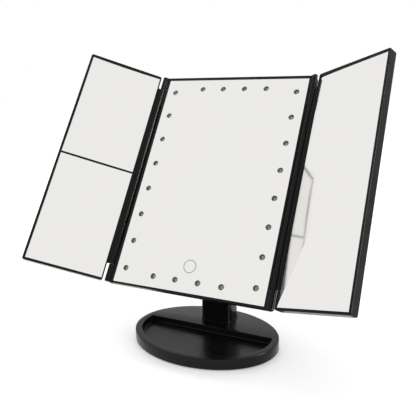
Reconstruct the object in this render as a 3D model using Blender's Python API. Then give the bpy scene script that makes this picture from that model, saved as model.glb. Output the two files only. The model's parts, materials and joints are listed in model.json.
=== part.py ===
"""Tri-fold lighted vanity mirror on a hollow battery column and an oval tray base.

Every physical piece is its own closed solid. The frame of the whole object has its origin on the
tabletop under the middle of the base, +X along the mirror's width, -Y towards the user and +Z up.
A piece of the mirror panel is drawn in panel coordinates: x across, y into the panel from the glass,
z up from the lower edge of the glass. A piece of a wing is drawn in wing coordinates: x outward from
the hinge pin, y into the wing, z as on the panel. All lengths are millimetres, turned to metres where
a mesh or an object is made.

A piece has a finish. A solid without one is a helper that only cuts or joins others.
"""

import math

import bmesh
import bpy
from mathutils import Matrix, Vector

MM = 0.001

# ------------------------------------------------------------------ poses at rest, in degrees
TILT_AT_REST = 34.3  # how far the panel leans back
LEFT_WING_AT_REST = 36.7  # how far each wing is folded forward of flat
RIGHT_WING_AT_REST = 28.6

# -------------------------------------------------------------------------------------- base
BASE_HALF_WIDTH = 80.0
BASE_HALF_DEPTH = 58.8
BASE_TOP = 12.0
SHELL_BOTTOM = 1.0
SHELL_ROOF = 2.0  # thickness over the hollow
SKIRT_WALL = 2.3
BASE_SIDES = 64
TRAY_RIM = 7.3
TRAY_FLOOR = 4.6
TRAY_BACK_Y = 10.0
TRAY_FILLET = 1.6
TRAY_WALL = 2.4  # between the tray and the hollow behind it
COVER_BOTTOM = 1.2
COVER_TOP = 2.6
COVER_RECESS_TOP = 2.9
COVER_PLAY = 0.4
BALLAST_TOP = 6.4
PAD_TOP = 0.9
PAD_INSET = 6.0
POST_RADIUS = 4.0
BASE_SCREWS = [(52.0, 26.0), (-52.0, 26.0), (38.2, -46.3), (-38.2, -46.3)]  # the first two in posts
BASE_SCREW_SEAT = 0.25  # height of a head's lower side
BASE_SCREW_HOLE_R = 1.3
BASE_SCREW_HOLE_TOP = 8.6
PAD_HOLE_R = 3.2

# ------------------------------------------------------------------------------------ column
COLUMN_Y = 36.5
COLUMN_HALF_WIDTH = 17.9
COLUMN_HALF_DEPTH = 15.4
COLUMN_SQUARENESS = 3.6  # exponent of the superellipse section
COLUMN_SIDES = 44
COLUMN_WALL = 2.0
COLUMN_BOTTOM = 13.8
COLLAR_STEP = 0.9
COLLAR_TOP = 13.5
TENON_HALF = (14.2, 10.7)
TENON_BOTTOM = 6.8
TENON_RADIUS = 3.2
SOCKET_PLAY = 0.4
COLUMN_SCREWS = [(8.0, COLUMN_Y), (-8.0, COLUMN_Y)]
COLUMN_SCREW_SEAT = 3.0
COLUMN_SCREW_HOLE_R = 1.45
COLUMN_SCREW_HOLE_TOP = 11.4
BAY_LOW = 17.2
BAY_HIGH = 124.4
BAY_FRONT_Y = COLUMN_Y - 1.6
DUCT_BACK_Y = COLUMN_Y - 3.4  # the wires run up a duct in front of the cells
COVER_SPLIT_Y = 42.0
COVER_WALL = 1.8
REAR_COVER_LOW = 19.0
REAR_COVER_HIGH = 122.6
RIB_HEIGHTS = (104.0, 106.0, 108.0, 110.0)
RIB_HALF_WIDTH = 7.0
RIB_THICKNESS = 0.8
RIB_DEPTH = (1.4, 0.4)  # into the cover and out of it
WIRE_WAY = (105.0, 109.0)  # the opening between the duct and the bay
WIRE_WAY_HALF = 3.0
WIRE_RISE_R = 2.0
WIRE_RISE_Y = COLUMN_Y - 6.0

# ------------------------------------------------------------------------------------- cells
AA_RADIUS = 7.1
AA_LENGTH = 49.5
AA_NUB = 1.0
AA_NUB_RADIUS = 2.7
CELL_X = 7.35
CELL_Y = 42.4
SPRING_WIRE = 0.45  # radius of the wire
SPRING_TURNS = 3
CONTACT_THICKNESS = 0.5
CONTACT_DEPTH = (38.0, 48.0)  # front and back of a plate
LINK_PLATE_LOW = 17.4
CONTACT_LOW = 123.6
LOWER_SPRING = (18.1, 21.2)
UPPER_SPRING = (119.9, 123.4)
SPRING_RADII = (4.6, 2.6)
DOWN_STACK_LOW = 18.3  # where the stack without a spring under it starts

# ------------------------------------------------------------------------------------- pivot
PIVOT_Z = 143.4
PIVOT_DEPTH = 28.2  # from the glass back to the tilt axis
PIVOT_UP = 105.2  # from the lower edge of the glass up to the tilt axis
COLUMN_TOP = PIVOT_Z - 16.0
KNUCKLE_HALF = 9.1
TILT_KNUCKLE_R = 11.0
BOLT_HOLE_R = 2.7
BOLT_R = 2.4
BOLT_HEAD_R = 4.3
LUG_IN = 10.3
LUG_OUT = 17.9
LUG_R = 9.0
HEAD_BORE_R = 5.2
HEAD_SEAT = 13.7
WASHER_R = 7.0
BRACKET_BACK = 13.4
BRACKET_HALF_WIDTH = 25.0
BRACKET_BELOW = 13.0  # below and above the tilt axis
BRACKET_ABOVE = 18.0
BRACKET_HOLE_R = 1.6
BOLT_SPAN = (-16.6, 14.5)
WASHER_SPAN = (9.3, 10.1)
CAP_SPAN = (16.8, 17.8)
BRACKET_SCREWS = [(x, PIVOT_UP + z) for x in (-21.0, 21.0) for z in (-8.0, 13.0)]

# ------------------------------------------------------------------------------ middle panel
GLASS_HALF_WIDTH = 83.0  # visible glass of the middle panel
GLASS_HEIGHT = 241.5
GLASS_FRONT = 0.1
GLASS_BACK = 3.1
GLASS_OVERLAP = 0.6  # how far the sheet reaches behind the bezel's lips
LIP_FRONT = -1.0
FRAME_HALF_WIDTH = 86.0
FRAME_LOW = -2.3
FRAME_HIGH = GLASS_HEIGHT + 2.3
FRAME_BACK = 7.5
LIP_SIDE = 84.8  # outer side of the thin lip between the fingers
FLANGE_HALF_WIDTH = 90.4  # the frame is wider behind the hinge barrels
FLANGE_FRONT = 4.4
PANEL_BACK = 11.0
SHELL_HALF_WIDTH = 89.8
DISH_BACK = 9.2
PANEL_SCREWS = [(x, z) for x in (-80.0, 80.0) for z in (13.0, 228.5)]
PANEL_POST_X = (77.4, 84.2)
PANEL_POST_HALF = 2.8
PANEL_POST_FRONT = 3.6
GLASS_PLAY = 0.8
HOUSING = (-42.0, 42.0, 134.0, 196.0)  # raised housing on the back, across and up
HOUSING_BACK = 17.6
HOUSING_WALL = 1.8
HOUSING_RADIUS = 6.0
VENT_HALF_WIDTH = 26.0
VENT_SLOT = 1.6
WIRE_HOLE_R = 2.5
VENT_HEIGHTS = (160.0, 165.0, 170.0, 175.0)
USB_Y = 13.6
USB_Z = 152.0
USB_SPAN = (34.0, 41.6)
USB_HALF = (1.4, 3.8)
USB_WALL = 0.4
CONTROL_BOARD = (-34.0, 33.0, 139.0, 190.0)  # across and up
CONTROL_BOARD_DEPTH = (10.6, 11.8)

# ------------------------------------------------------------------------------------ hinges
HINGE_X = 88.8
HINGE_Y = -1.5
HINGE_KNUCKLE_R = 2.6
HINGE_TUBE_R = 2.3
PIN_R = 0.9
PIN_HOLE_R = 1.15
KNUCKLE_LOW_END = 16.5  # the panel's knuckles reach this far in from each end
KNUCKLE_HIGH_START = 228.5
FINGER_LENGTH = 34.0
FINGER_X = (84.3, 85.8)
FINGER_DEPTH = (-1.4, 0.4)
WEB_X = 85.0
LOW_PIN = (5.4, 25.0)
HIGH_PIN = (219.6, 237.4)
PIN_PLAY = (0.4, 1.0)  # in the panel's knuckle and in the wing's

# ------------------------------------------------------------------------------------- wings
WING_INNER = 4.9
WING_OUTER = 88.2
WING_GLASS_INNER = 6.4  # the visible glass, across and up
WING_GLASS_OUTER = 85.6
WING_GLASS_LOW = 0.6
WING_GLASS_HIGH = GLASS_HEIGHT - 0.6
WING_LIP = 0.7
WING_GLASS_FRONT = 1.5
WING_BACK = 9.5
WING_LOW = -2.0
WING_HIGH = GLASS_HEIGHT + 2.0
WING_WALL = 0.8
SHEET_INSET = WING_WALL + GLASS_FRONT + 0.2
PRESSED_THICKNESS = 1.8
DIVIDER_Z = 120.0
DIVIDER_HALF = 0.9
DIVIDER_BACK = 6.5
WING_COVER_FRONT = 7.9
UPPER_MIRROR_RADIUS = 1300.0  # a magnification of about two
LOWER_MIRROR_RADIUS = 2000.0

# ------------------------------------------------------------------------------------ lights
LED_COLUMN_X = 71.6
LED_LOW_Z = 15.5
LED_HIGH_Z = 224.9
LED_ROW_SPACING = 25.0
LED_ROW_STEP = 4.2  # the middle rows stand this far outside the corner lights
LEDS_PER_COLUMN = 8
LEDS_PER_ROW = 4
LED_WINDOW_R = 3.4
LED_HALF = (1.4, 1.75)
LED_FRONT = 3.8
MASK = (3.4, 4.6)  # front and back of the mask plate
BOARD = (4.9, 5.9)  # front and back of the light strips
TOUCH_Z = 26.6
TOUCH_R = 6.6

GAP = 0.3
THROUGH = 3.0  # how far a cutter runs past a wall

# a screw is its head's radius and height, its shank's radius and its whole length
BASE_SCREW = (2.2, 0.65, 0.95, 8.0)
COLUMN_SCREW = (2.8, 1.7, 1.25, 8.0)
BRACKET_SCREW = (2.5, 1.4, 1.2, 6.8)
PANEL_SCREW = (2.5, 0.9, 1.0, 6.2)

# --------------------------------------------------------------------------------- materials


def material(name, colour, roughness, metallic=0.0):
    """A Principled material with a linear colour, roughness and metallic value."""
    made = bpy.data.materials.new(name)
    made.use_nodes = True
    shader = made.node_tree.nodes["Principled BSDF"]
    shader.inputs["Base Color"].default_value = (*colour, 1.0)
    shader.inputs["Roughness"].default_value = roughness
    shader.inputs["Metallic"].default_value = metallic
    return made


# ------------------------------------------------------------------------------ outlines (mm)


def ellipse(half_x, half_y, count, centre=(0.0, 0.0)):
    """Points of an ellipse, counter-clockwise."""
    turns = (math.tau * i / count for i in range(count))
    return [(centre[0] + half_x * math.cos(t), centre[1] + half_y * math.sin(t)) for t in turns]


def circles(radius, places, count=12):
    """One round outline at each place."""
    return [ellipse(radius, radius, count, place) for place in places]


def base_ellipse(inset, count=BASE_SIDES):
    """The base's outline, drawn in by inset."""
    return ellipse(BASE_HALF_WIDTH - inset, BASE_HALF_DEPTH - inset, count)


def column_section(inset):
    """The column's softly squared section, drawn in by inset."""
    power = 2.0 / COLUMN_SQUARENESS
    points = []
    for i in range(COLUMN_SIDES):
        turn = math.tau * i / COLUMN_SIDES
        c, s = math.cos(turn), math.sin(turn)
        x = math.copysign(abs(c) ** power, c) * (COLUMN_HALF_WIDTH - inset)
        y = math.copysign(abs(s) ** power, s) * (COLUMN_HALF_DEPTH - inset)
        points.append((x, COLUMN_Y + y))
    return points


def rectangle(x0, x1, y0, y1, radius=0.0, steps=4):
    """Points of a rectangle with rounded corners, counter-clockwise."""
    x0, x1 = sorted((x0, x1))
    if radius <= 0:
        return [(x0, y0), (x1, y0), (x1, y1), (x0, y1)]
    corners = [(x1 - radius, y0 + radius, -90), (x1 - radius, y1 - radius, 0)]
    corners += [(x0 + radius, y1 - radius, 90), (x0 + radius, y0 + radius, 180)]
    points = []
    for cx, cy, start in corners:
        for i in range(steps + 1):
            turn = math.radians(start + 90 * i / steps)
            points.append((cx + radius * math.cos(turn), cy + radius * math.sin(turn)))
    return points


def tenon_section(play):
    """The section of the column's tenon, let out by play for its socket."""
    x, y = TENON_HALF[0] + play, TENON_HALF[1] + play
    return rectangle(-x, x, COLUMN_Y - y, COLUMN_Y + y, TENON_RADIUS + play)


def cut_ellipse(inset, edge_y, front, count):
    """The part of the base's ellipse in front of, or behind, the straight line y = edge_y."""
    half_x, half_y = BASE_HALF_WIDTH - inset, BASE_HALF_DEPTH - inset
    start = math.asin(edge_y / half_y)
    low, high = (math.pi - start, math.tau + start) if front else (start, math.pi - start)
    turns = (low + (high - low) * i / count for i in range(count + 1))
    return [(half_x * math.cos(t), half_y * math.sin(t)) for t in turns]


def lug_outline():
    """A lug's side view: a round end on the tilt axis that runs straight into the bracket."""
    root_y = PANEL_BACK + 1.0
    points = [(root_y, PIVOT_UP + 14.0), (root_y, PIVOT_UP - 11.5)]
    for i in range(17):
        turn = math.radians(-95 + 190 * i / 16)
        points.append((PIVOT_DEPTH + LUG_R * math.cos(turn), PIVOT_UP + LUG_R * math.sin(turn)))
    return points


# -------------------------------------------------------------------------- making the solids


class Group:
    """The pieces that move together: their parent empty and their drawing's offset from it."""

    def __init__(self, empty=None, offset=(0, 0, 0), side=1):
        self.empty = empty
        self.offset = offset
        self.side = side  # -1 mirrors the drawing across x, for the left wing

    def add(self, name, form, finish):
        """A bmesh drawn in millimetres becomes an object of this group, in metres."""
        bmesh.ops.scale(form, vec=(MM * self.side, MM, MM), verts=form.verts)
        bmesh.ops.recalc_face_normals(form, faces=form.faces)
        mesh = bpy.data.meshes.new(name)
        form.to_mesh(mesh)
        form.free()
        thing = bpy.data.objects.new(name, mesh)
        bpy.context.scene.collection.objects.link(thing)
        thing.parent = self.empty
        thing.location = Vector(self.offset) * MM
        if finish is None:
            hide(thing)
        else:
            mesh.materials.append(finish)
        mesh.shade_smooth()
        mesh.set_sharp_from_angle(angle=math.radians(35))
        return thing


def hide(helper):
    """Keeps a helper out of the render and shows it as wire."""
    helper.hide_render = True
    helper.display_type = "WIRE"


def on_axes(axis, a, b, along):
    """A point from its two outline coordinates and its place along an axis."""
    return {"x": Vector((along, a, b)), "y": Vector((a, along, b)), "z": Vector((a, b, along))}[axis]


def soften_edges(form, radius, segments=2, where=None):
    """Rounds the edges that turn more than 40 degrees: all of them, or those where() picks."""
    form.normal_update()
    bmesh.ops.recalc_face_normals(form, faces=form.faces)
    paired = [e for e in form.edges if len(e.link_faces) == 2]
    sharp = [e for e in paired if e.calc_face_angle() > math.radians(40)]
    chosen = [e for e in sharp if where is None or all(where(v.co) for v in e.verts)]
    bmesh.ops.bevel(
        form, geom=chosen, offset=radius, segments=segments, profile=0.5, affect="EDGES", material=-1
    )


def prism(name, outlines, span, axis, group, finish=None, soft=None):
    """A solid of one or more outlines pushed along an axis, its edges rounded by soft."""
    form = bmesh.new()
    low, high = span
    for outline in outlines:
        face = form.faces.new([form.verts.new(on_axes(axis, a, b, low)) for a, b in outline])
        pushed = bmesh.ops.extrude_face_region(form, geom=[face])["geom"]
        moved = [v for v in pushed if isinstance(v, bmesh.types.BMVert)]
        bmesh.ops.translate(form, vec=on_axes(axis, 0, 0, high - low), verts=moved)
    if soft:
        soften_edges(form, *soft)
    return group.add(name, form, finish)


def box(name, lows, highs, group, finish=None, soft=None):
    """A rectangular solid between two corners."""
    outline = rectangle(lows[0], highs[0], lows[1], highs[1])
    return prism(name, [outline], (lows[2], highs[2]), "z", group, finish, soft)


def round_bar(name, centre, radius, span, axis, group, finish=None, sides=20, soft=None):
    """A cylinder along an axis, its centre given in the two other coordinates."""
    return prism(name, [ellipse(radius, radius, sides, centre)], span, axis, group, finish, soft)


def combine(target, others, operation):
    """Boolean steps with the exact solver."""
    for other in others:
        hide(other)
        step = target.modifiers.new(other.name, "BOOLEAN")
        step.operation = operation
        step.solver = "EXACT"
        step.object = other


def join(target, *others):
    """Fuses helpers into a piece."""
    combine(target, others, "UNION")


def cut(target, *others):
    """Cuts helpers out of a piece."""
    combine(target, others, "DIFFERENCE")


def empty(name, location, parent=None, turn=(0.0, 0.0, 0.0)):
    """A joint's axis, as an empty that the moving pieces are parented to."""
    made = bpy.data.objects.new(name, None)
    bpy.context.scene.collection.objects.link(made)
    made.parent = parent
    made.location = Vector(location) * MM
    made.rotation_euler = turn
    made.empty_display_size = 20 * MM
    return made


def screw(name, head_centre, sign, axis, size, group, finish):
    """A pan-head screw. Its head starts at head_centre and its shank runs along sign on the axis.

    size is the head's radius and height, the shank's radius and the whole length.
    """
    head_r, head_h, shank_r, length = size
    chamfer = 0.5
    profile = [(0, 0), (head_r - chamfer, 0), (head_r, chamfer), (head_r, head_h)]
    profile += [(shank_r, head_h), (shank_r, length - chamfer), (shank_r - chamfer, length), (0, length)]
    form = bmesh.new()
    start = Vector(head_centre)
    points = [form.verts.new(start + on_axes(axis, r, 0, sign * h)) for r, h in profile]
    edges = [form.edges.new(pair) for pair in zip(points, points[1:])]
    turned = {"geom": points + edges, "cent": start, "axis": on_axes(axis, 0, 0, 1)}
    bmesh.ops.spin(form, angle=math.tau, steps=10, use_merge=True, **turned)
    bmesh.ops.remove_doubles(form, verts=form.verts, dist=0.001)
    return group.add(name, form, finish)


# --------------------------------------------------------------------------------------- base


def base_shell(group, finish):
    """The oval top shell: a tray in front, a collar for the column behind, hollow underneath."""
    span = (SHELL_BOTTOM, BASE_TOP)
    shell = prism("base_shell", [base_ellipse(0)], span, "z", group, finish, (0.7, 2))
    collar_span = (BASE_TOP - 1.0, COLLAR_TOP)
    above = (0.5, 2, lambda v: v.z > BASE_TOP)
    join(shell, prism("collar", [column_section(-COLLAR_STEP)], collar_span, "z", group, None, above))
    tray_outline = cut_ellipse(TRAY_RIM, TRAY_BACK_Y, True, 40)
    floor_edge = (TRAY_FILLET, 3, lambda v: v.z < TRAY_FLOOR + 0.1)
    tray = prism("tray_cut", [tray_outline], (TRAY_FLOOR, BASE_TOP + 5), "z", group, None, floor_edge)
    recess = prism("recess_cut", [base_ellipse(SKIRT_WALL)], (-1, COVER_RECESS_TOP), "z", group)
    hollow_outline = cut_ellipse(SKIRT_WALL + 0.3, TRAY_BACK_Y + TRAY_WALL, False, 26)
    hollow = prism("hollow_cut", [hollow_outline], (0, BASE_TOP - SHELL_ROOF), "z", group)
    socket_outline = tenon_section(SOCKET_PLAY)
    socket = prism("socket_cut", [socket_outline], (BASE_TOP - 4, COLLAR_TOP + 2), "z", group)
    cut(shell, tray, recess, hollow, socket)
    post_span = (COVER_RECESS_TOP + 0.1, BASE_TOP - 1.5)
    join(shell, prism("screw_posts", circles(POST_RADIUS, BASE_SCREWS[:2], 16), post_span, "z", group))
    holes = circles(BASE_SCREW_HOLE_R, BASE_SCREWS)
    cut(shell, prism("screw_hole_cuts", holes, (0, BASE_SCREW_HOLE_TOP), "z", group))


def base_cover(group, finish):
    """The plate screwed on under the base."""
    outline = base_ellipse(SKIRT_WALL + COVER_PLAY, 48)
    span = (COVER_BOTTOM, COVER_TOP)
    cover = prism("base_bottom_cover", [outline], span, "z", group, finish)
    cut(cover, prism("cover_hole_cuts", circles(BASE_SCREW_HOLE_R + 0.1, BASE_SCREWS), (0, 4), "z", group))


def ballast(group, finish):
    """The steel weight in the rear of the base, cleared for the posts and the column screws."""
    inset = SKIRT_WALL + COVER_PLAY + 2.0
    outline = cut_ellipse(inset, TRAY_BACK_Y + TRAY_WALL + 1.0, False, 24)
    span = (COVER_RECESS_TOP, BALLAST_TOP)
    plate = prism("ballast_plate", [outline], span, "z", group, finish, (0.3, 1))
    posts = prism("post_cuts", circles(POST_RADIUS + 0.5, BASE_SCREWS[:2], 16), (0, 9), "z", group)
    head_r, head_h, shank_r, _ = COLUMN_SCREW
    shanks = prism("shank_cuts", circles(shank_r + 0.35, COLUMN_SCREWS), (0, 9), "z", group)
    head_span = (0, COLUMN_SCREW_SEAT + head_h + 0.2)
    heads = prism("head_cuts", circles(head_r + 0.4, COLUMN_SCREWS, 16), head_span, "z", group)
    cut(plate, posts, shanks, heads)


def foam_pad(group, finish):
    """The soft pad that the object stands on."""
    pad = prism("non_slip_pad", [base_ellipse(PAD_INSET, 48)], (0.0, PAD_TOP), "z", group, finish)
    cut(pad, prism("pad_hole_cuts", circles(PAD_HOLE_R, BASE_SCREWS, 16), (-1, 2), "z", group))


def base_screws(group, finish):
    """The screws that hold the cover on and the column down."""
    for number, (x, y) in enumerate(BASE_SCREWS, 1):
        screw(f"base_screw_{number}", (x, y, BASE_SCREW_SEAT), 1, "z", BASE_SCREW, group, finish)
    for number, (x, y) in enumerate(COLUMN_SCREWS, 1):
        seat = (x, y, COLUMN_SCREW_SEAT)
        screw(f"column_screw_{number}", seat, 1, "z", COLUMN_SCREW, group, finish)


# ------------------------------------------------------------------------------------- column


def column_shell(group, finish):
    """The column: a tenon in the base, a bay for the cells, a wire duct and a tilt knuckle."""
    top_edge = (1.4, 3, lambda v: v.z > COLUMN_TOP - 1)
    span = (COLUMN_BOTTOM, COLUMN_TOP)
    shell = prism("column_shell", [column_section(0)], span, "z", group, finish, top_edge)
    tenon = prism("tenon", [tenon_section(0)], (TENON_BOTTOM, COLUMN_BOTTOM + 1), "z", group)
    half, radius = KNUCKLE_HALF, TILT_KNUCKLE_R
    stem_low = (-half, COLUMN_Y - radius, COLUMN_TOP - 3)
    stem = box("knuckle_stem", stem_low, (half, COLUMN_Y + radius, PIVOT_Z), group)
    axis_at = (COLUMN_Y, PIVOT_Z)
    join(stem, round_bar("tilt_knuckle", axis_at, radius, (-half, half), "x", group, sides=40))
    join(shell, tenon, stem)

    bay = prism("bay_cut", [column_section(COLUMN_WALL)], (BAY_LOW, BAY_HIGH), "z", group)
    cut(bay, box("bay_front_clip", (-30, 0, 0), (30, BAY_FRONT_Y, 200), group))
    duct = prism("duct_cut", [column_section(COLUMN_WALL)], (BAY_LOW, BAY_HIGH - 6), "z", group)
    cut(duct, box("duct_rear_clip", (-30, DUCT_BACK_Y, 0), (30, 90, 200), group))
    opening_low = (-30, COVER_SPLIT_Y, REAR_COVER_LOW)
    opening = box("cover_opening_cut", opening_low, (30, 90, REAR_COVER_HIGH), group)
    way_low = (-WIRE_WAY_HALF, DUCT_BACK_Y - 4, WIRE_WAY[0])
    way_high = (WIRE_WAY_HALF, BAY_FRONT_Y + 5, WIRE_WAY[1])
    wire_way = box("wire_way_cut", way_low, way_high, group)
    rise = (BAY_HIGH - 12, PIVOT_Z + radius + THROUGH)
    rise_at = (0, WIRE_RISE_Y)
    wire_rise = round_bar("wire_rise_cut", rise_at, WIRE_RISE_R, rise, "z", group, sides=12)
    bolt_hole = round_bar("bolt_cut", axis_at, BOLT_HOLE_R, (-30, 30), "x", group)
    holes = circles(COLUMN_SCREW_HOLE_R, COLUMN_SCREWS)
    screw_holes = prism("column_screw_cuts", holes, (0, COLUMN_SCREW_HOLE_TOP), "z", group)
    cut(shell, bay, duct, opening, wire_way, wire_rise, bolt_hole, screw_holes)


def battery_cover(group, finish):
    """The curved cover behind the cells, which pulls off to the rear by its ribs."""
    span = (REAR_COVER_LOW + GAP, REAR_COVER_HIGH - GAP)
    cover = prism("battery_cover", [column_section(0)], span, "z", group, finish)
    front = box("cover_front_clip", (-30, 0, 0), (30, COVER_SPLIT_Y + GAP, 200), group)
    hollow = prism("cover_hollow_cut", [column_section(COVER_WALL)], (0, 200), "z", group)
    cut(cover, front, hollow)
    back = COLUMN_Y + COLUMN_HALF_DEPTH
    half = RIB_HALF_WIDTH
    ribs = [rectangle(-half, half, z, z + RIB_THICKNESS) for z in RIB_HEIGHTS]
    span = (back - RIB_DEPTH[0], back + RIB_DEPTH[1])
    join(cover, prism("thumb_ribs", ribs, span, "y", group))


# -------------------------------------------------------------------------------------- cells


def cell(name, x, low, nub_up, group, finish):
    """One AA cell standing on end, with its nub up or down."""
    foot = low if nub_up else low + AA_NUB
    end = foot + AA_LENGTH if nub_up else foot
    outwards = 1 if nub_up else -1
    span = (foot, foot + AA_LENGTH)
    can = round_bar(name, (x, CELL_Y), AA_RADIUS, span, "z", group, finish, 24, (0.6, 1))
    nub_span = sorted((end - outwards, end + outwards * AA_NUB))
    join(can, round_bar(name + "_nub", (x, CELL_Y), AA_NUB_RADIUS, nub_span, "z", group, sides=12))


def spring(name, x, span, group, finish):
    """A conical contact spring as a wound wire."""
    low, high = span
    wide, narrow = SPRING_RADII
    steps = 12 * SPRING_TURNS
    curve = bpy.data.curves.new(name, "CURVE")
    curve.dimensions = "3D"
    curve.bevel_depth = SPRING_WIRE * MM
    curve.bevel_resolution = 1
    curve.use_fill_caps = True
    curve.materials.append(finish)
    line = curve.splines.new("POLY")
    line.points.add(steps)
    for i in range(steps + 1):
        share = i / steps
        turn = math.tau * SPRING_TURNS * share
        radius = wide + (narrow - wide) * share
        z = low + SPRING_WIRE + (high - low - 2 * SPRING_WIRE) * share
        spot = Vector((x + radius * math.cos(turn), CELL_Y + radius * math.sin(turn), z))
        line.points[i].co = (*(spot * MM), 1)
    wound = bpy.data.objects.new(name, curve)
    bpy.context.scene.collection.objects.link(wound)
    wound.parent = group.empty


def battery_parts(group, sleeve, nickel):
    """Four AA cells in two stacks, and the plates and springs that join them in series."""
    next_up = AA_LENGTH + AA_NUB + GAP
    up_stack_low = LOWER_SPRING[1] + GAP
    cell("battery_1", -CELL_X, up_stack_low, True, group, sleeve)
    cell("battery_2", -CELL_X, up_stack_low + next_up, True, group, sleeve)
    cell("battery_3", CELL_X, DOWN_STACK_LOW, False, group, sleeve)
    cell("battery_4", CELL_X, DOWN_STACK_LOW + next_up, False, group, sleeve)
    spring("battery_spring_lower", -CELL_X, LOWER_SPRING, group, nickel)
    spring("battery_spring_upper", CELL_X, UPPER_SPRING, group, nickel)
    front, back = CONTACT_DEPTH
    plates = {
        "battery_link_plate": (-12.5, 12.5, LINK_PLATE_LOW),
        "battery_contact_positive": (-12.5, -1.5, CONTACT_LOW),
        "battery_contact_negative": (1.5, 12.5, CONTACT_LOW),
    }
    for name, (left, right, low) in plates.items():
        box(name, (left, front, low), (right, back, low + CONTACT_THICKNESS), group, nickel)


# -------------------------------------------------------------------------------------- pivot


def pivot_bracket(group, finish):
    """The bracket screwed to the panel's back, with two lugs that straddle the column's knuckle."""
    half = BRACKET_HALF_WIDTH
    outline = rectangle(-half, half, PIVOT_UP - BRACKET_BELOW, PIVOT_UP + BRACKET_ABOVE, 3.0)
    back_edge = (0.5, 1, lambda v: v.y > 12)
    span = (PANEL_BACK + 0.2, BRACKET_BACK)
    bracket = prism("pivot_bracket", [outline], span, "y", group, finish, back_edge)
    axis_at = (PIVOT_DEPTH, PIVOT_UP)
    for side, word in ((-1, "left"), (1, "right")):
        lug_span = sorted((side * LUG_IN, side * LUG_OUT))
        join(bracket, prism(f"{word}_lug", [lug_outline()], lug_span, "x", group, None, (0.6, 2)))
        bore = sorted((side * HEAD_SEAT, side * 30))
        cut(bracket, round_bar(f"{word}_bore_cut", axis_at, HEAD_BORE_R, bore, "x", group))
    bolt_hole = round_bar("lug_bolt_cut", axis_at, BOLT_HOLE_R, (-30, 30), "x", group)
    holes = prism("bracket_hole_cuts", circles(BRACKET_HOLE_R, BRACKET_SCREWS), (9, 16), "y", group)
    cut(bracket, bolt_hole, holes)


def pivot_hardware(group, black, steel, zinc):
    """The friction bolt through the knuckle, its nut, washers and caps, and the bracket's screws."""
    axis_at = (PIVOT_DEPTH, PIVOT_UP)
    bolt = round_bar("pivot_bolt", axis_at, BOLT_R, BOLT_SPAN, "x", group, zinc)
    head_span = (HEAD_SEAT + 0.2, HEAD_SEAT + 2.5)
    head = round_bar("bolt_head", axis_at, BOLT_HEAD_R, head_span, "x", group, soft=(0.4, 2))
    join(bolt, head)
    nut_span = (-head_span[1], -head_span[0])
    nut = round_bar("pivot_nut", axis_at, BOLT_HEAD_R + 0.3, nut_span, "x", group, zinc, 6)
    cut(nut, round_bar("nut_cut", axis_at, BOLT_R + 0.2, (-20, -10), "x", group))
    for side, word in ((-1, "left"), (1, "right")):
        span = sorted(side * x for x in WASHER_SPAN)
        washer = round_bar(f"friction_washer_{word}", axis_at, WASHER_R, span, "x", group, steel)
        hole_span = (span[0] - THROUGH, span[1] + THROUGH)
        cut(washer, round_bar(f"{word}_washer_cut", axis_at, BOLT_HOLE_R, hole_span, "x", group))
        cap_span = sorted(side * x for x in CAP_SPAN)
        cap = {"finish": black, "soft": (0.2, 2)}
        round_bar(f"pivot_cap_{word}", axis_at, HEAD_BORE_R - GAP, cap_span, "x", group, **cap)
    for number, (x, z) in enumerate(BRACKET_SCREWS, 1):
        head = (x, BRACKET_BACK + BRACKET_SCREW[1] + 0.2, z)
        screw(f"bracket_screw_{number}", head, -1, "y", BRACKET_SCREW, group, zinc)


# ------------------------------------------------------------------------------- middle panel


def frame_knuckles(frame, group):
    """Joins the hinges' end knuckles to the frame, and the flush fingers beside the wings' own."""
    ends = ((FRAME_LOW + 0.2, KNUCKLE_LOW_END), (KNUCKLE_HIGH_START, FRAME_HIGH - 0.2))
    front_edge = (0.3, 1, lambda v: v.y < 0)
    for side, word in ((-1, "left"), (1, "right")):
        near, far = side * FINGER_X[0], side * FINGER_X[1]
        fingers = [rectangle(near, far, FRAME_LOW + 0.5, FINGER_LENGTH)]
        fingers.append(rectangle(near, far, GLASS_HEIGHT - FINGER_LENGTH, FRAME_HIGH - 0.5))
        join(frame, prism(f"{word}_fingers", fingers, FINGER_DEPTH, "y", group, None, front_edge))
        for number, (low, high) in enumerate(ends, 1):
            web_low, web_high = (side * WEB_X, -2.4, low), (side * HINGE_X, 2.0, high)
            web = box(f"{word}_knuckle_web_{number}", web_low, web_high, group, None, (0.4, 1))
            barrel_name = f"{word}_knuckle_{number}"
            pin_at = (side * HINGE_X, HINGE_Y)
            span = (low, high)
            barrel = round_bar(barrel_name, pin_at, HINGE_KNUCKLE_R, span, "z", group, soft=(0.7, 2))
            join(frame, web, barrel)


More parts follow.
